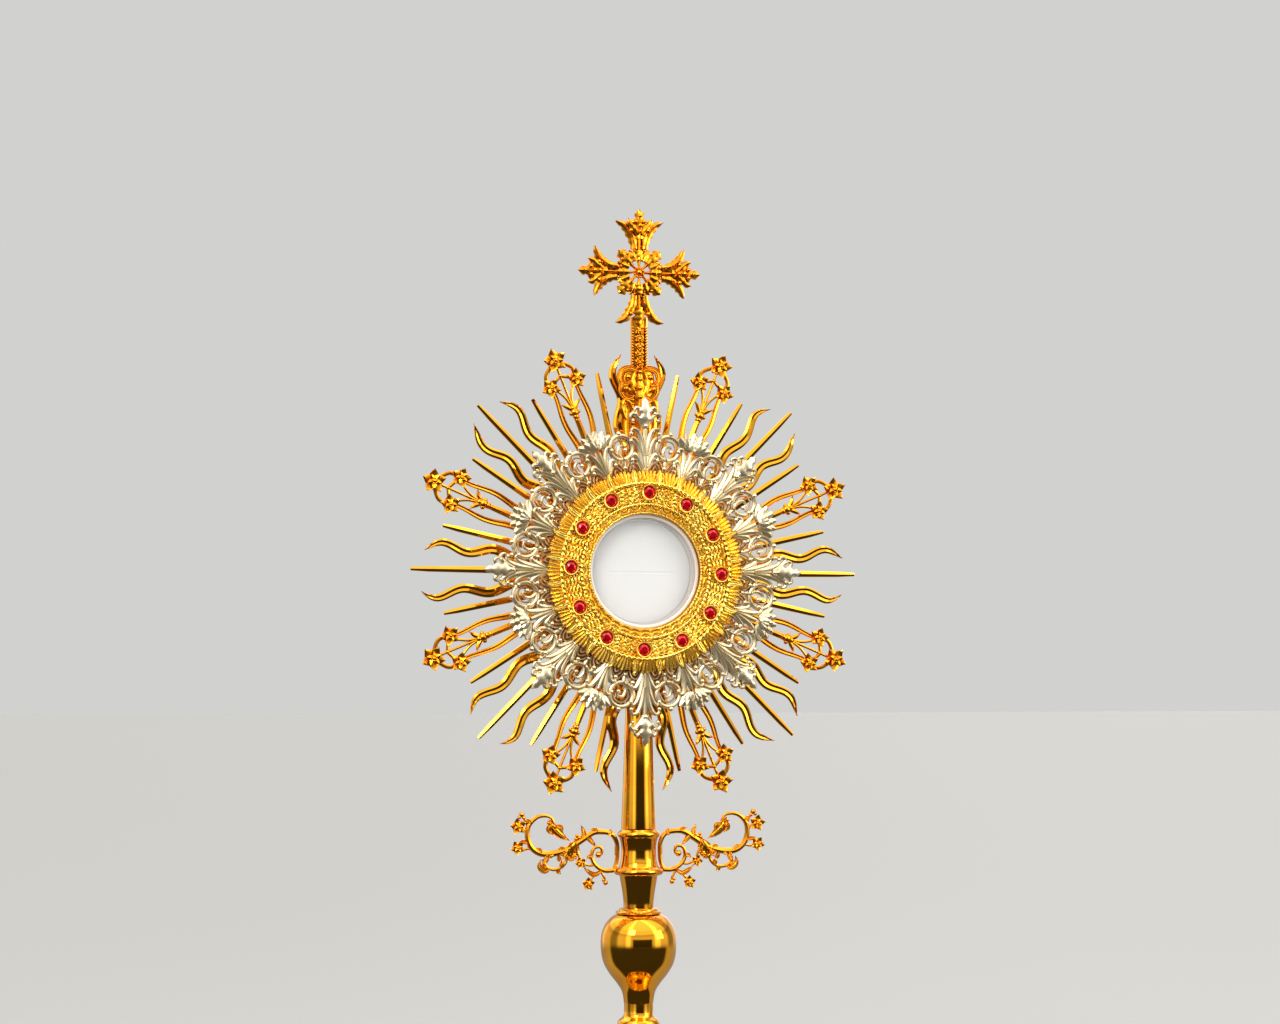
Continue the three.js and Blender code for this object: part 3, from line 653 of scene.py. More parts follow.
def spray_group(index):
    """Two slim wavy rays and a knotted stalk that carry three blossoms joined by bows."""
    lean = 45 * index + 22.5
    spray = Shape()
    front = RAY_FRONT + 0.4
    knot, join, top = polar(117, lean), polar(143, lean), polar(154, lean)
    for side in (-1, 1):
        path = []
        for s in np.linspace(0, 1, 44):
            sway = 1.5 * math.sin(TAU * 1.8 * s) * min(1, 3 * s) * (1 - 0.4 * s)
            along = polar(60 + 76 * s, lean + side * (4.9 - 0.9 * s))
            path.append(along + polar(1, lean + 90) * side * sway)
        blade(spray, path, lambda s: 3.0 - 1.6 * s, lambda s: 2.3 - 0.9 * s, front, GROOVED)
        bloom = polar(138, lean + side * 4.0)
        stalk = spline([knot, polar(127, lean + side * 0.9), polar(134, lean + side * 2.4), bloom], 14)
        blade(spray, stalk, 0.95, 0.95, front, ROUND)
        blade(spray, spline([bloom, polar(146.5, lean + side * 3.7), top], 16), 1.45, 1.0, front, ROUND)
        blade(spray, spline([bloom, polar(141, lean + side * 1.7), join], 10), 1.2, 0.9, front, ROUND)
        leafy = spline([knot, polar(121.5, lean + side * 1.5), polar(124.5, lean + side * 3.2)], 8)
        blade(spray, leafy, swelling(1.7, 0.05, 0.92), 1.1, front - 0.4, V_RIDGE)
        flower(spray, bloom, 6.4, front - 0.6, lean + side * 20 + random.uniform(-10, 10))
        dot(spray, polar(116.6, lean + side * 1.3), front - 0.6, 1.6, 0.8)
    stem = [polar(r, lean) for r in np.linspace(62, 116, 10)]
    blade(spray, stem, lambda s: 3.1 - 1.2 * s, 2.0, front, V_RIDGE)
    blade(spray, [knot, polar(130, lean), join, top], 0.95, 0.95, front, ROUND)
    flower(spray, top, 7.6, front - 0.8, lean + random.uniform(-6, 6))
    for r, size in ((111, 1.9), (113.6, 2.4), (116.6, 3.2), (119.6, 2.2), (143, 1.5)):
        dot(spray, polar(r, lean), front - 0.3, size, 0.8)
    ray_foot(spray, lean, 7, 12)
    spray.object(f"flowers_{index + 1}", CAST, ROOT, [f"flower_spray_{index + 1}"], "gold", 35, SUN)


for index in range(8):
    ray_group(index)
    spray_group(index)


# ---- Silver filigree ---------------------------------------------------------------------------
LEAF = [(-1, 0), (-0.84, 0.55), (-0.4, 0.62), (0, 1), (0.4, 0.62), (0.84, 0.55), (1, 0), (0, -0.4)]


def curl(shape, points, width, y, height=1.5, count=26, tip_ball=0.0, section=LEAF):
    """A tapering leaf that may end in a small ball."""
    line = spline(points, count)
    bulge = swelling(0.65, 0.15, 0.8)
    half = lambda s: width * (0.35 + bulge(s)) * (1 - 0.35 * s)
    blade(shape, line, half, tapering(height, 0.3), y, section)
    if tip_ball:
        dot(shape, line[-1], y - 0.6, tip_ball)


def lobed(shape, low, high, width, y):
    """A broad leaf on the middle line with a lobed edge."""

    def half(s):
        edge = 0.8 + 0.2 * math.cos(TAU * 3.5 * s)
        return width * (math.sin(math.pi * min(1, 0.14 + 0.86 * s)) ** 0.8 * edge) + 0.05

    blade(shape, upward(low, high, 30), half, tapering(2.8, 0.5),
          lambda s: y - 1.6 * math.sin(math.pi * s), LEAF)


def nested_arcs(shape, side):
    """A rainbow of three ridges that stands on the gold ring beside a stem."""
    for k in range(3):
        a, b = 1.7 + 2.05 * k, 3.6 + 2.7 * k
        sweep = np.radians(np.linspace(-84, 84, 18))
        line = [(6.9 + a * math.sin(t), 66.4 + b * math.cos(t)) for t in sweep]
        blade(shape, mirrored(line, side), 0.82, 1.9, -14.2 + 0.3 * k, V_RIDGE)


def palmette(major, tall):
    """One palmette pointing up, drawn from the ring outwards."""
    p = Shape()
    y = -12.8
    tip = 118 if tall else 112 if major else 100.5
    blade(p, upward(61, tip - 15, 14), lambda s: 2.7 - 1.2 * s, 2.8, y - 1.4, LEAF)
    if major:
        leaves = [((1.0, 67), (3.6, 74), (6.8, 78.6), (9.2, 77.6), (8.8, 75)),
                  ((1.1, 70), (2.8, 80), (5.4, 87), (8.4, 90), (10, 88)),
                  ((0.9, 78), (2.4, 88), (5.4, 95), (9.0, 96), (9.9, 92.8)),
                  ((0.8, tip - 21), (4.2, tip - 15), (8.4, tip - 11.6), (10.6, tip - 14), (8.8, tip - 16.4)),
                  ((0.8, tip - 14), (3.4, tip - 9.6), (6.2, tip - 7.6), (7.6, tip - 9.8), (6.6, tip - 11.6))]
    else:
        leaves = [((1.0, 66.5), (3.4, 73), (6.4, 77.2), (8.8, 76), (8.2, 73.6)),
                  ((1.0, 70), (2.8, 79), (5.8, 85.6), (8.6, 86.2), (9.2, 83.8))]
    for side in (1, -1):
        nested_arcs(p, side)
        for k, leaf in enumerate(leaves):
            curl(p, mirrored(leaf, side), 2.7 - 0.2 * k, y - 1.2 - 0.35 * k, 2.6, 30, 1.7 - 0.1 * k)
    if major:
        lobed(p, tip - 21, tip, 5.4, y - 2.2)
        ball(p, (0, y - 3.6, tip - 20), 1.9)
    else:
        # A rounded head of ribbed scales.
        foot = np.array([0.0, 87.0])
        for length, spread, forward in ((13.5, (-62, -37, -12, 12, 37, 62), 1.2),
                                        (10.5, (-46, -16, 16, 46), 2.6), (7.5, (-24, 0, 24), 3.8)):
            for lean in spread:
                line = [foot + polar(length * s, lean) for s in np.linspace(0.1, 1, 10)]
                blade(p, line, swelling(3.0, 0.16, 0.7, 1, 0.1), 2.2, y - forward, LEAF)
    return p


def scroll_cell():
    """The round scroll between two palmettes: a ring, a finer one inside it and a hooked leaf."""
    p = Shape()
    y = -12.6
    middle = np.array([0.0, 84.6])
    blade(p, [middle + polar(8.2, a) for a in np.linspace(-176, 176, 44)], 1.55, 2.3, y - 0.9, LEAF)
    blade(p, [middle + polar(5.2, a) for a in np.linspace(-150, 110, 34)], 0.7, 1.5, y - 0.6, V_RIDGE)
    curl(p, [(0, 76), (-2.6, 80.6), (-1.6, 85.2), (1.8, 85.8), (2.4, 82.8)], 1.6, y - 0.6, 1.8, 24, 1.7)
    curl(p, [(0, 76), (0, 73.4), (0, 70.8)], 1.9, y - 0.8, 2.0, 12, 1.5)
    ball(p, (0, y - 1.4, 94.4), 1.8)
    return p


def filigree():
    whole = Shape()
    tall, major, minor = palmette(True, True), palmette(True, False), palmette(False, False)
    cell = scroll_cell()
    for k in range(16):
        whole.copy(minor if k % 2 else tall if k in (0, 8) else major, spin(22.5 * k))
        whole.copy(cell, spin(22.5 * k + 11.25))
    whole.copy(disc([(47.6, -11.8), (66, -11.8), (66.6, -11.2), (66, -10.4), (47.6, -10.4)], 192))
    whole.object("silver_filigree", SILVER, ROOT, ["filigree_ring"], "silver", 70, SUN)


filigree()


# ---- Gold ring of stones -----------------------------------------------------------------------
def crown_of_leaves():
    """Shells of fine ribs with a curled leaf between each two, round the edge of the gold ring."""
    crown = Shape()
    shells = 24
    for k in range(shells):
        middle = 360 * k / shells + random.uniform(-0.7, 0.7)
        for j in range(-3, 4):
            lean = j * 2.15
            reach = 68.6 - 0.3 * j * j + random.uniform(-0.5, 0.5)
            foot, tip = polar(58.4, middle + 0.62 * lean), polar(reach, middle + 1.12 * lean)
            line = spline([foot, (foot + tip) / 2 + polar(0.4 * j / 3, middle + 90), tip], 8)
            bulge = 1.5 * (1 - (j / 4) ** 2)
            depth = lambda s: -16.2 - bulge * math.sin(math.pi * min(1, 0.3 + 0.6 * s))
            blade(crown, line, tapering(1.25, 0.2), lambda s: 1.9 * (1.05 - 0.4 * s), depth, V_RIDGE)
        leaf_at = middle + 180 / shells
        bend = random.choice((-1, 1))
        line = spline([polar(58.5, leaf_at), polar(64, leaf_at + 0.4 * bend), polar(68.4, leaf_at),
                       polar(70.2, leaf_at - 1.3 * bend)], 12)
        blade(crown, line, swelling(2.5, 0.22, 0.78, 0.985, 0.05), tapering(2.3, 0.5), -17.7, RIBBED)
    crown.copy(disc([(47.6, -14.6), (64, -14.6), (66, -13.6), (66, -12.6), (47.6, -12.6)]))
    crown.object("leaf_fringe", CHASED, ROOT, ["leaf_crown"], "chased_gold", 40, SUN)


crown_of_leaves()

STONES = [polar(53, 2 + 30 * k) for k in range(12)]


def ring_surface(r, degrees):
    """How far the ring stands forward: scalloped lace inside, a woven band round the stones."""
    if r < 45:
        cell = (degrees / 10 + 0.5) % 1 - 0.5
        d = math.hypot(math.radians(cell * 10) * r, 45.6 - r)
        return 16.6 + 0.75 * math.cos(TAU * d / 2.3 + 0.6) + 0.3 * (r - 39) / 6
    share = (r - 45.4) / 13
    nearest = abs((degrees - 2 + 15) % 30 - 15) / 15
    over, under = TAU * (r / 2.6 + 1.1 * nearest), TAU * (r / 2.4 - 1.3 * nearest + 0.3)
    weave = math.cos(over) + 0.8 * math.cos(under)
    drift = math.sin(math.radians(degrees * 7) + r / 3)
    twist = math.cos(math.radians(degrees * 84) + r * 2.4 + 3 * drift)
    return 17.0 + 0.8 * math.sin(math.pi * share) + 0.5 * weave + 0.2 * twist


def ring_of_stones():
    """The gold ring with its ropes and a beaded collet for each stone."""
    bezel = Shape()
    radii = np.concatenate([np.linspace(39, 44.6, 16), np.linspace(45.4, 58.4, 40)])
    rows = []
    for i in range(1200):
        a = TAU * i / 1200
        row = [(39 * math.sin(a), -14.6, 39 * math.cos(a))]
        for r in radii:
            row.append((r * math.sin(a), -ring_surface(r, math.degrees(a)), r * math.cos(a)))
        row += [(60.6 * math.sin(a), -17.2, 60.6 * math.cos(a)),
                (60.8 * math.sin(a), -14.6, 60.8 * math.cos(a))]
        rows.append(row)
    bezel.grid(rows, wrap_rows=True, wrap_columns=True)
    rope(bezel, 45.1, 0.95, 96, -17.9)
    rope(bezel, 59.2, 1.35, 104, -18.4)
    rope(bezel, 39.4, 0.5, 120, -16.8)
    for q in STONES:
        collet = disc([(4.2, -17), (5.7, -17), (5.7, -18.2), (5.5, -19.5), (5.0, -20.0), (4.5, -19.8),
                       (4.2, -19.2)], 32)
        bezel.copy(collet, shift(q[0], 0, q[1]))
        for k in range(18):
            e = q + polar(6.3, 20 * k)
            dot(bezel, e, -18.2, 0.7, 1, 4, 6)
    bezel.object("ring_of_stones", CHASED, ROOT, ["gem_bezel"], "chased_gold", 40, SUN)


ring_of_stones()


def brilliant(centre, turn):
    """A round stone: a flat table, kite facets and a girdle."""
    g = Shape()

    def ring(radius, y, count, offset):
        places = [centre + polar(radius, turn + offset + 360 * k / count) for k in range(count)]
        return [(x, y, z) for x, z in places]

    table, upper = ring(2.1, -20.6, 8, 0), ring(3.2, -20.0, 8, 22.5)
    girdle, back = ring(4.15, -18.8, 16, 0), ring(4.1, -17.4, 16, 0)
    g.add(table + upper + girdle + back + [(centre[0], -16.2, centre[1])],
          [tuple(range(8))]
          + [(k, 8 + k, (k + 1) % 8) for k in range(8)]
          + [(k, 8 + (k - 1) % 8, 16 + 2 * k, 8 + k) for k in range(8)]
          + [(8 + k, 16 + 2 * k, 16 + 2 * k + 1) for k in range(8)]
          + [(8 + k, 16 + 2 * k + 1, 16 + (2 * k + 2) % 16) for k in range(8)]
          + [(16 + k, 16 + (k + 1) % 16, 32 + (k + 1) % 16, 32 + k) for k in range(16)]
          + [(32 + k, 32 + (k + 1) % 16, 48) for k in range(16)])
    return g


for k, q in enumerate(STONES):
    stone = brilliant(q, random.uniform(0, 40))
    stone.object(f"stone_{k + 1:02d}", RUBY, ROOT, [f"gem_{k + 1:02d}"], "red_stone", 0, SUN)


# ---- Case, door, latch and luna ----------------------------------------------------------------
disc([(44.5, 9.5), (46.6, 9.5), (47.3, 8.8), (47.3, -13.8), (46.8, -14.2), (38.8, -14.2), (38.6, -13.9),
      (38.8, -13), (44.5, -13)], 160).object("case_drum", GOLD, ROOT, ["case_ring"], "gold", 30, SUN)
disc([(0.4, -12.7), (43.8, -12.7), (44.2, -12.4), (44.2, -11.4), (43.8, -11.1), (0.4, -11.1)]).object(
    "front_lens", GLASS, ROOT, ["front_glass"], "clear_glass", 30, SUN)
disc([(0.4, 9.9), (41.4, 9.9), (41.7, 10.2), (41.7, 11), (41.4, 11.3), (0.4, 11.3)]).object(
    "door_lens", GLASS, DOOR, ["door_glass"], "clear_glass", 30, SUN)
disc([(36.3, -12.75), (36.6, -13.2), (37.4, -13.5), (38.3, -13.5), (38.5, -13.2), (38.5, -12.75)],
     160).object("lens_bead", RIM, ROOT, (), "clear_rim", 60, SUN)


def luna():
    """The glass holder: a clear hoop with a tongue below, two lenses, and the host between them."""
    hoop = disc([(37.1, -7.5), (38.2, -7.5), (38.4, -7.2), (38.4, -1.9), (38.1, -1.6), (35.7, -1.6),
                 (35.6, -2.6), (37.1, -2.6)], 160)
    hoop.copy(disc([(35.3, -5.7), (37.05, -5.8), (37.05, -4.4), (35.3, -4.4)], 160))
    block(hoop, (-3, 3), (-5.6, -3.4), (-41, -38.2))
    block(hoop, (-1.6, 1.6), (-7.4, -6.6), (36.2, 38.2), 0.2)
    hoop.object("luna_hoop", RIM, LUNA, ["luna_band"], "clear_rim", 30, SUN)
    for name, front, back, nodes in (("luna_lens_front", -7.1, -5.9, "luna_front"),
                                     ("luna_lens_rear", -4.2, -2.9, "luna_rear")):
        disc([(0.4, front), (36.4, front), (36.8, front + 0.3), (36.8, back - 0.3), (36.4, back),
              (0.4, back)], 128).object(name, GLASS, LUNA, [nodes], "clear_glass", 30, SUN)
    bread = Shape()
    rows = []
    for i in range(180):
        a = TAU * i / 180
        row = []
        for r in np.concatenate([np.linspace(0.2, 34, 60), [34.6, 34.8]]):
            x, z = r * math.sin(a), r * math.cos(a)
            crease = 0.42 * math.exp(-((z + 0.6) / 0.42) ** 2) * (abs(x) < 23)
            row.append((x, -5.6 + crease + (0.15 if r > 34.7 else 0), z))
        row += [(34.8 * math.sin(a), -4.5, 34.8 * math.cos(a)),
                (0.2 * math.sin(a), -4.5, 0.2 * math.cos(a))]
        rows.append(row)
    bread.grid(rows, wrap_rows=True, wrap_columns=True)
    bread.object("bread", WAFER, LUNA, ["host"], "wafer", 40, SUN)


luna()

# ---- The back: plate, hinge, door, latch -------------------------------------------------------
PIN_X, PIN_Y = 53, 14.2
STUD_X = -52
VINE_RADIUS = 61.2


def knuckle(shape, low, high):
    """A round barrel on the hinge line with a clear bore."""
    barrel = [(1.6, low), (2.3, low), (2.6, low + 0.35), (2.6, high - 0.35), (2.3, high), (1.6, high)]
    tube = lathe(barrel, 40)
    return shape.copy(tube, shift(PIN_X, PIN_Y))


def back_of_sun():
    """The back plate with ropes, vines, screws, the fixed knuckles and the stud of the latch."""
    plate = disc([(47.6, 4.7), (72, 4.7), (72, 5.9), (71.5, 6.7), (70.6, 7.1), (69.7, 6.8), (69.1, 6.2),
                  (68.2, 6.1), (67.4, 6.5), (55.4, 6.5), (54.6, 6.1), (53.9, 6.2), (53.2, 6.8),
                  (52.2, 7.1), (51.2, 6.8), (50.5, 6.3), (49.4, 6.3), (48.6, 6.8), (47.6, 6.6)], 192)
    rope(plate, 69.0, 0.62, 150, 6.5)
    rope(plate, 54.4, 0.55, 124, 6.5)
    for k in range(24):
        angle = 15 * k + 7.5
        if min(abs(angle - 90), abs(angle - 270)) < 9:
            continue
        vine = Shape()
        flip = 1 if k % 2 else -1
        wave = lambda points: [(x, VINE_RADIUS + flip * (z - VINE_RADIUS)) for x, z in points]
        scroll = [(-7.6, 61.2), (-4.4, 64), (0, 64.8), (3.4, 63), (3.2, 60), (0.6, 59.4)]
        curl(vine, wave(scroll), 1.0, 6.4, -0.9, 26, 0, LEAF)
        curl(vine, wave([(-2, 64.6), (1, 66), (4.6, 65.2), (7.6, 61.2)]), 1.0, 6.4, -0.8, 16, 0, LEAF)
        curl(vine, wave([(-5, 63.4), (-6.4, 60.6), (-4.8, 58.2)]), 1.3, 6.4, -0.9, 12, 0, LEAF)
        dot(vine, (0.8, VINE_RADIUS - 1.2 * flip), 7.0, 1.3, 0.7)
        plate.copy(vine, spin(angle))
    for angle in (0, 45, 135, 180, 225, 315):
        q = polar(50.8, angle)
        screw = disc([(0.2, 6.4), (1.9, 6.4), (2.0, 7.0), (1.5, 7.6), (0.8, 7.9), (0.2, 7.9)], 24)
        plate.copy(screw, shift(q[0], 0, q[1]))
    for low, high in ((-11, -6), (6, 11)):
        knuckle(plate, low, high)
        plate.loft([[(PIN_X - w, y, low), (PIN_X + w, y, low), (PIN_X + w, y, high), (PIN_X - w, y, high)]
                    for w, y in ((4.4, 6.4), (3.0, 8.2), (2.55, 10.6), (2.3, 12.4))])
    stud = disc([(0.2, 6.4), (4.6, 6.4), (4.4, 7.0), (3.5, 7.6), (3.2, 8.4), (3.2, 12.3), (2.9, 12.6),
                 (2, 12.6), (2, 14.9), (3.2, 14.9), (3.2, 15.4), (2.6, 16), (1.4, 16.4), (0.2, 16.5)], 48)
    plate.copy(stud, shift(STUD_X))
    plate.object("back_ring", GOLD, ROOT, ["back_plate"], "gold", 35, SUN)


back_of_sun()


def door():
    """The door's ring with its hinge strap, and the clip that takes the tongue of the luna."""
    rim = disc([(42, 9.8), (47, 9.8), (47, 11.6), (46.7, 12.2), (46, 12.6), (45.3, 12.3), (44.9, 11.9),
                (43.9, 11.9), (43.5, 12.3), (42.8, 12.6), (41.4, 12.6), (40.4, 12.4), (39.5, 11.9),
                (39.5, 11.6), (42, 11.6)], 192)
    rope(rim, 44.4, 0.45, 150, 12.2)
    knuckle(rim, -5.7, 5.7)
    strap = ((40.6, 12.2, 12.8, 1.2), (42.6, 12.0, 13.2, 2.8), (45.5, 11.6, 13.7, 4.4),
             (49, 11.6, 14.6, 5.7), (51.3, 12.4, 15.4, 5.7))
    rim.loft([[(x, y0, -z), (x, y1, -z), (x, y1, z), (x, y0, z)] for x, y0, y1, z in strap])
    for z in (-2.2, 2.2):
        ball(rim, (46.6, 13.8, z), 0.9, 0.6)
    rim.object("door_rim", GOLD, DOOR, ["door_frame"], "gold", 35, SUN)
    clip = Shape()
    block(clip, (-5, 5), (-8, 9.5), (-42.5, -41.4))
    block(clip, (-5, 5), (-8, -6.1), (-41.6, -38.9))
    block(clip, (-5, 5), (-2.9, 9.5), (-41.6, -38.9))
    for x in ((-5, -3.4), (3.4, 5)):
        block(clip, x, (-6.3, -2.7), (-41.6, -39.2), 0.1)
    clip.object("luna_clip", GOLD, DOOR, ["luna_socket"], "gold", 30, SUN)


door()

pin = lathe([(0.05, -12), (1.3, -12), (1.3, 12), (0.05, 12)], 32)
for end in (-1, 1):
    ball(pin, (0, 0, end * 13.2), 2.0, 1, 10, 16)
    pin.copy(lathe([(0.05, end * 11.3), (1.9, end * 11.3), (1.9, end * 11.9), (0.05, end * 11.9)], 24))
Shape().copy(pin, shift(PIN_X, PIN_Y)).object(
    "pin_with_balls", BRASS, ROOT, ["hinge_pin"], "plain_brass", 35, SUN)


def latch():
    """A flat finger on a washer."""
    button = disc([(2.3, 12.95), (3.5, 12.95), (3.8, 13.3), (3.8, 14.2), (3.5, 14.6), (2.3, 14.6)], 48)
    flat = [(-1, 0), (-1, 0.72), (-0.78, 1), (0.78, 1), (1, 0.72), (1, 0)]
    finger = lambda s: (2.7 - 1.1 * s + 0.9 * max(0, s - 0.7)) * (1 - max(0, (s - 0.86) / 0.16) ** 3)
    blade(button, upward(2.9, 9.4, 14), finger, -1.65, 12.95, flat)
    button = Shape().copy(button, shift(STUD_X))
    button.object("latch_finger", GOLD, LATCH, ["latch_button"], "gold", 35, SUN)


latch()


def socket():
    """The bracket that holds the case on the stem: a ringed foot and a waisted web under the case."""
    foot = lathe([(4.3, -78.7), (8.4, -78.7), (8.8, -78.2), (8.8, -77.2), (8.1, -76.6), (7.2, -76.2),
                  (7, -75.4), (7, -73), (4.3, -73)], 64)
    web = []
    for z, w in ((-74.5, 6.8), (-70, 6.2), (-62, 5.2), (-54, 5.8), (-50, 7.6), (-48, 8.6)):
        outline = ((-w, -5.4), (-w + 1, -6.4), (w - 1, -6.4), (w, -5.4),
                   (w, 0.7), (w - 1, 1.7), (-w + 1, 1.7), (-w, 0.7))
        web.append([(x, y, z) for x, y in outline])
    foot.loft(web)
    foot.object("case_bracket", GOLD, ROOT, ["sun_socket"], "gold", 30, SUN)


socket()

for name in ("tie_rod", "tie_rod_nut"):
    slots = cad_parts[name].data.materials
    slots.clear()
    slots.append(BRASS)


# ---- Cross -------------------------------------------------------------------------------------
CROSS_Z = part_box("cross")[1].z / MM - SUN / MM - 43.6
PANEL = [(-1, 0), (-0.96, 0.9), (-0.82, 1), (-0.7, 0.35), (-0.35, 0.5), (0, 0.75), (0.35, 0.5),
         (0.7, 0.35), (0.82, 1), (0.96, 0.9), (1, 0), (0, -0.6)]


def acanthus(shape, points, width, y, height=1.8, lobes=3, count=24):
    """A leaf with lobes along its edge."""

    def half(s):
        edge = 0.78 + 0.22 * math.cos(TAU * (lobes + 0.5) * s)
        return width * (math.sin(math.pi * min(1, 0.12 + 0.88 * s)) ** 0.8) * edge + 0.05

    blade(shape, spline(points, count), half, tapering(height, 0.4), y, LEAF)


def horn_half(s):
    """The half width of a horn of the cross, with its edge drawn in between the lobes."""
    edge = 0.86 + 0.14 * math.cos(TAU * 4.5 * s)
    return (2.3 + 1.3 * math.sin(math.pi * s)) * (1 - s ** 9) * edge + 0.1


def cross_arm(shaft, across):
    """One arm pointing up: a beaded waist, two horns, and a leaf cluster or the shaft."""
    p = Shape()
    y = 0.2
    edge = lambda s: 5.8 - 1.9 * math.sin(math.pi * min(1, s * 1.15)) + 3.4 * max(0, s - 0.55)
    blade(p, upward(9, 28, 16), edge, 2.0, y, PANEL)
    level = 0 if across else 3
    for side in (1, -1):
        line = [(3.8, 16), (4.6, 21.4), (7.2, 26 + level / 2), (11.2, 29.4 + level), (16.9, 31.8 + level)]
        horn = spline(mirrored(line, side), 24)
        blade(p, horn, horn_half, tapering(2.8, 0.4), y - 0.9, LEAF)
        blade(p, horn[8:], tapering(1.0, 0.7), 1.6, y - 2.4, V_RIDGE)
        for r in np.arange(13, 27, 1.9):
            ball(p, (side * edge((r - 9) / 19) * 0.86, y - 2.0, r), 0.95)
        ball(p, (side * 6.2, y - 2.8, 28.6), 1.6)
    blade(p, upward(12, 27, 8), 1.2, 1.6, y - 1.2, ROUND)
    if shaft:
        acanthus(p, [(0, 24), (0, 30), (0, 37)], 5.4, y - 1.8)
        blade(p, upward(31, 67.3, 8), 5.8, 2.0, y, PANEL)
        for r in np.arange(40.5, 66, 5.4):
            flower(p, np.array([0.0, r]), 3.0, y - 1.9, 36 * (r > 50), 5)
            ball(p, (0, y - 3.6, r), 1.15)
        for r in np.arange(43.2, 66, 5.4):
            foot = np.array([0, r])
            for turn in (55, 125, 235, 305):
                line = [foot, foot + polar(2.2, turn), foot + polar(4.0, turn + 12)]
                acanthus(p, line, 1.3, y - 1.9, 1.3, 1, 8)
        for r in np.arange(38, 67, 1.9):
            for side in (1, -1):
                ball(p, (side * 4.7, y - 2.0, r), 0.95, 1, 4, 8)
    else:
        acanthus(p, [(0, 23), (0, 31), (0, 38), (0, 43.6)], 6.6, y - 1.6, 2.4, 3, 34)
        for side in (1, -1):
            line = mirrored([(1.2, 26), (4.8, 30.5), (7.2, 33.4), (8.2, 37)], side)
            acanthus(p, line, 3.3, y - 2.4, 2.2, 2)
        for x, z, r in ((0, 38.6, 1.5), (2.8, 34.6, 1.5), (-2.8, 34.6, 1.5), (0, 32, 1.8), (0, 28, 1.4)):
            ball(p, (x, y - 4.0, z), r)
    return p


def hub_of_cross():
    """An open rosette of eight petals in a ringed square with a leaf at each corner."""
    hub = disc([(8.1, -1.2), (8.6, -2.3), (9.4, -2.9), (10.3, -2.4), (10.9, -1.7), (11.6, -2.0),
                (12.4, -1.5), (12.8, 0.6), (8.1, 0.6)], 64)
    for k in range(8):
        petal = [polar(r, 45 * k) for r in np.linspace(1.5, 8.6, 6)]
        blade(hub, petal, lambda s: 0.7 + 0.9 * s * s, 1.2, -0.6, ROUND)
    ball(hub, (0, -1.2, 0), 2.5)
    for k in range(8):
        dot(hub, polar(3.1, 45 * k + 22.5), -1.0, 1.0)
    for k in range(4):
        corner = 45 + 90 * k
        acanthus(hub, [polar(r, corner) for r in (8.5, 12, 16, 21.2)], 6.4, -1.2, 2.4, 2)
        for lean in (-24, 24):
            line = [polar(9.6, corner + lean * 0.6), polar(13, corner + lean),
                    polar(17, corner + lean * 0.8)]
            acanthus(hub, line, 3.0, -1.0)
        acanthus(hub, [polar(r, 90 * k) for r in (8.4, 11.5, 16)], 4.4, -1.9, 2.2, 2)
        for half in (22.5, 67.5):
            acanthus(hub, [polar(r, 90 * k + half) for r in (8.2, 11, 14.4)], 3.2, -2.2, 1.8, 1)
        for lean in (-30, 30):
            dot(hub, polar(15.2, corner + lean * 0.35), -2.6, 1.1)
    return hub


def cross_piece():
    whole = Shape()
    for turn in (0, 90, 180, 270):
        whole.copy(cross_arm(turn == 180, turn in (90, 270)), spin(turn, CROSS_Z))
    whole.copy(hub_of_cross(), shift(0, 0, CROSS_Z))
    whole.object("leafy_cross", CAST, ROOT, ["cross"], "gold", 45, SUN)


cross_piece()


def mount_of_cross():
    """A capital of scrolls and leaves on a long tang behind the top palmette."""
    p = Shape()
    y = 0.2
    blade(p, upward(60, 96, 8), 3.4, 2.0, y, PANEL)
    flare = lambda s: 7.5 + 4.0 * min(1, s * 1.3) ** 2 - 1.5 * max(0, s - 0.9) / 0.1
    blade(p, upward(90, 137, 26), flare, 2.4, y, RIBBED)
    edge = [(8, 90), (8.8, 100), (8.0, 110), (9.2, 120), (9.6, 127)]
    volute = [(1.4, 137), (7, 138.8), (12.4, 136.6), (13.8, 131), (10.6, 127.2), (6.8, 129.2), (8, 132.6)]
    lower = [(12.6, 129), (12.6, 122.4), (8.4, 118), (4.2, 120), (4.8, 124), (7.6, 123.6)]
    for side in (1, -1):
        blade(p, mirrored(edge, side), 2.5, 1.8, y, GROOVED)
        curl(p, mirrored(volute, side), 2.7, y - 1.6, 2.0, 44, 2.3, RIBBED)
        curl(p, mirrored(lower, side), 2.4, y - 1.4, 1.8, 36, 2.0, RIBBED)
        acanthus(p, mirrored([(1.4, 118), (4.6, 125), (4.8, 131), (2.6, 137)], side), 3.2, y - 2.2)
        acanthus(p, mirrored([(8.6, 119), (11.6, 114), (11.4, 108), (9, 103)], side), 2.8, y - 1.2)
        acanthus(p, mirrored([(1.2, 106), (4.6, 111), (7.4, 115.5), (11.4, 117)], side), 2.8, y - 1.6)
        for r in np.arange(96, 118, 2.6):
            ball(p, (side * 4.6, y - 2.4, r), 1.1)
    acanthus(p, [(0, 112), (0, 120), (0, 128), (0, 137)], 4.2, y - 2.8, 2.4)
    for x, z, r in ((0, 125, 1.9), (0, 131, 1.6), (0, 119, 1.9), (9.6, 124.4, 1.6), (-9.6, 124.4, 1.6),
                    (0, 136, 1.7)):
        ball(p, (x, y - 4.2, z), r)
    p.object("leafy_mount", CAST, ROOT, ["crown_mount"], "gold", 40, SUN)


mount_of_cross()


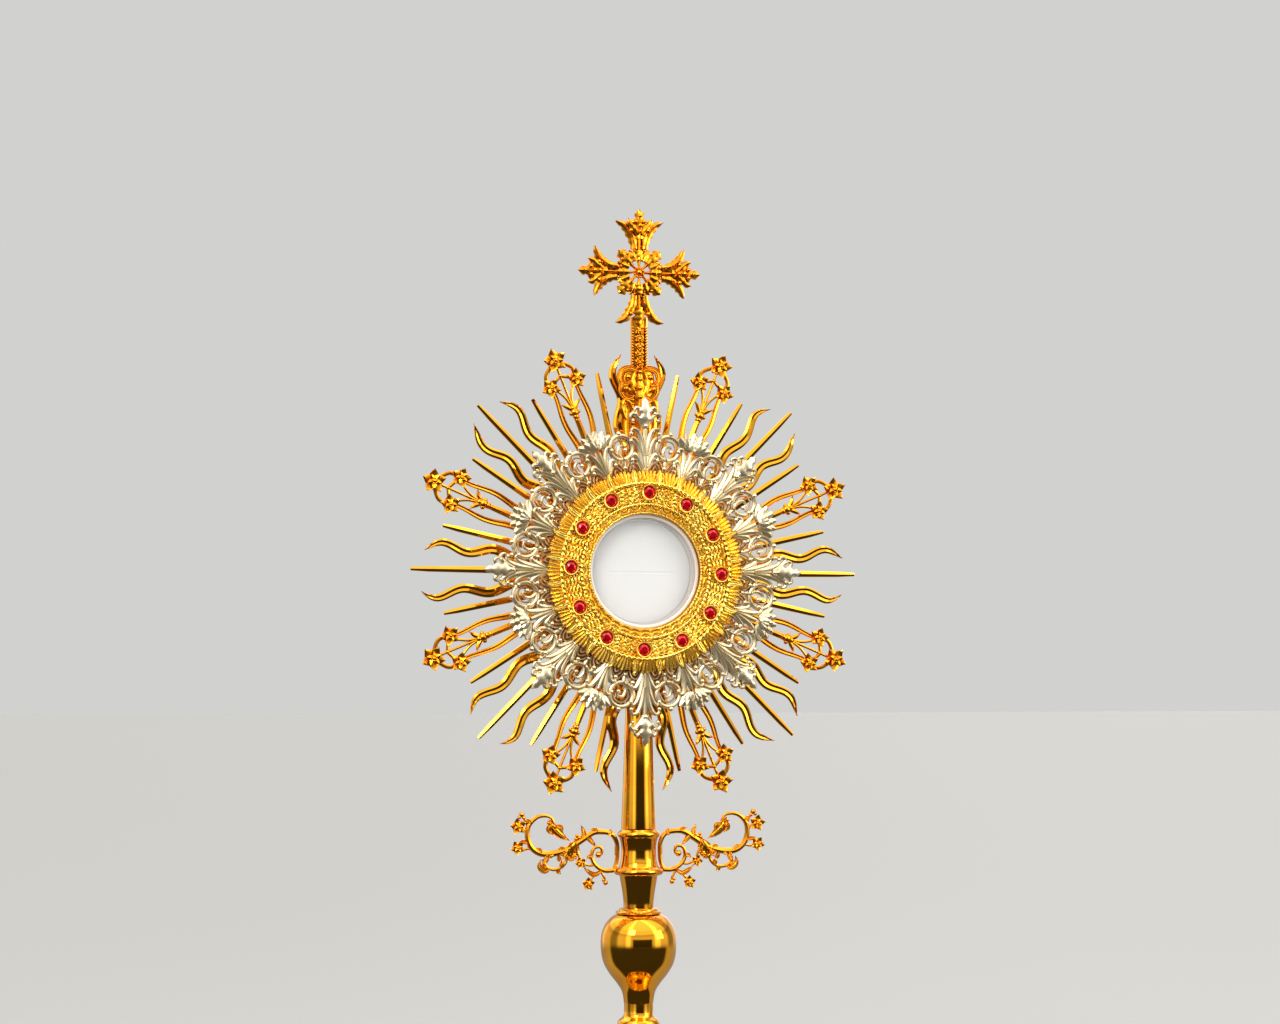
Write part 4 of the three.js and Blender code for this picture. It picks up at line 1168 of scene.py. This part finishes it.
# ---- Floor, light and camera -------------------------------------------------------------------
def floor():
    mesh = bpy.data.meshes.new("floor")
    half = 30
    corners = [(-half, -half, 0), (half, -half, 0), (half, half, 0), (-half, half, 0)]
    mesh.from_pydata(corners, [], [(0, 1, 2, 3)])
    plane = bpy.data.objects.new("floor", mesh)
    bpy.context.scene.collection.objects.link(plane)
    look = Look("pale_floor")
    look.constants(Base_Color=(0.395, 0.395, 0.385, 1), Roughness=0.6)
    mesh.materials.append(look.material)
    plane.visible_glossy = False


floor()


def studio():
    """Pale to the camera. Reflections see a soft room: dark ahead and below, bright sides and top."""
    world = bpy.data.worlds.new("studio")
    bpy.context.scene.world = world
    world.use_nodes = True
    nodes, links = world.node_tree.nodes, world.node_tree.links
    nodes.clear()
    out = nodes.new("ShaderNodeOutputWorld")
    where = nodes.new("ShaderNodeTexCoord")
    split = nodes.new("ShaderNodeSeparateXYZ")
    links.new(where.outputs["Generated"], split.inputs[0])

    def maths(operation, a, b=None):
        m = nodes.new("ShaderNodeMath")
        m.operation = operation
        for socket, value in zip(m.inputs, (a, b)):
            if isinstance(value, (int, float)):
                socket.default_value = value
            elif value is not None:
                links.new(value, socket)
        return m.outputs[0]

    def levels(value, stops):
        """A grey ramp: each stop is a position from 0 to 1 and a level."""
        made = ramp(nodes, [(position, (level, level, level)) for position, level in stops])
        links.new(value, made.inputs["Fac"])
        return made.outputs["Color"]

    bearing = maths("ARCTAN2", split.outputs["X"], maths("MULTIPLY", split.outputs["Y"], -1))
    around = maths("ADD", maths("DIVIDE", bearing, TAU), 0.5)
    height = maths("ADD", maths("MULTIPLY", split.outputs["Z"], 0.5), 0.5)
    sides = levels(around, [(0.0, 0.5), (0.04, 0.6), (0.07, 1.3), (0.11, 0.9), (0.17, 0.8), (0.2, 0.3),
                            (0.25, 0.3), (0.28, 0.95), (0.34, 0.9), (0.35, 1.9), (0.38, 1.9),
                            (0.39, 0.85), (0.59, 0.85), (0.60, 2.0), (0.64, 2.0), (0.655, 0.9),
                            (0.72, 0.95), (0.75, 0.3), (0.80, 0.3), (0.83, 0.8), (0.89, 0.9), (0.93, 1.3),
                            (0.96, 0.6), (1.0, 0.5)])
    below = levels(around, [(0.0, 0.3), (0.17, 0.55), (0.2, 0.05), (0.70, 0.05), (0.73, 0.55),
                            (1.0, 0.3)])
    dark_around = levels(around, [(0.40, 0.0), (0.41, 1.0), (0.565, 1.0), (0.575, 0.0)])
    dark_height = levels(height, [(0.42, 0.0), (0.45, 1.0), (0.56, 1.0), (0.59, 0.0)])
    tall = levels(height, [(0.46, 0.9), (0.5, 1.0), (0.62, 1.1), (0.70, 0.8), (0.74, 1.6), (0.80, 1.5),
                           (0.83, 1.9), (1.0, 2.1)])
    is_up = levels(height, [(0.43, 0.0), (0.47, 1.0)])
    upper = maths("MULTIPLY", maths("MULTIPLY", sides, tall), is_up)
    lower = maths("MULTIPLY", below, maths("SUBTRACT", 1.0, is_up))
    lit = maths("ADD", upper, lower)
    dark = maths("MULTIPLY", dark_around, dark_height)
    keep = maths("SUBTRACT", 1.0, maths("MULTIPLY", dark, 0.95))
    room = nodes.new("ShaderNodeBackground")
    links.new(maths("MULTIPLY", lit, keep), room.inputs["Strength"])
    room.inputs["Color"].default_value = (1.0, 0.985, 0.96, 1)
    seen = nodes.new("ShaderNodeBackground")
    seen.inputs["Color"].default_value = (0.64, 0.64, 0.625, 1)
    path = nodes.new("ShaderNodeLightPath")
    mix = nodes.new("ShaderNodeMixShader")
    links.new(path.outputs["Is Camera Ray"], mix.inputs["Fac"])
    links.new(room.outputs[0], mix.inputs[1])
    links.new(seen.outputs[0], mix.inputs[2])
    links.new(mix.outputs[0], out.inputs["Surface"])
    bpy.context.scene.view_settings.view_transform = "Standard"


studio()


def lamp(name, place, size, watts, target=(0, 0, 0.42)):
    light = bpy.data.lights.new(name, "AREA")
    light.size = size
    light.energy = watts
    o = bpy.data.objects.new(name, light)
    bpy.context.scene.collection.objects.link(o)
    o.location = place
    o.rotation_euler = (Vector(target) - Vector(place)).to_track_quat("-Z", "Y").to_euler()


lamp("key", (-1.3, -1.6, 1.6), 0.7, 22)
lamp("fill", (1.6, -1.2, 0.9), 0.9, 10)


def camera():
    data = bpy.data.cameras.new("camera")
    view_width, distance = 0.8704, 1.9
    data.sensor_width = 36
    data.lens = data.sensor_width * distance / view_width
    o = bpy.data.objects.new("camera", data)
    bpy.context.scene.collection.objects.link(o)
    sideways, rise = 0.001, 0.0408
    target = Vector((sideways, 0, SUN + rise))
    azimuth, elevation = math.radians(-17), math.radians(-3.5)
    level = math.cos(elevation)
    back = Vector((math.sin(azimuth) * level, -math.cos(azimuth) * level, math.sin(elevation)))
    o.location = target + back * distance
    o.rotation_euler = (-back).to_track_quat("-Z", "Y").to_euler()
    bpy.context.scene.camera = o


camera()
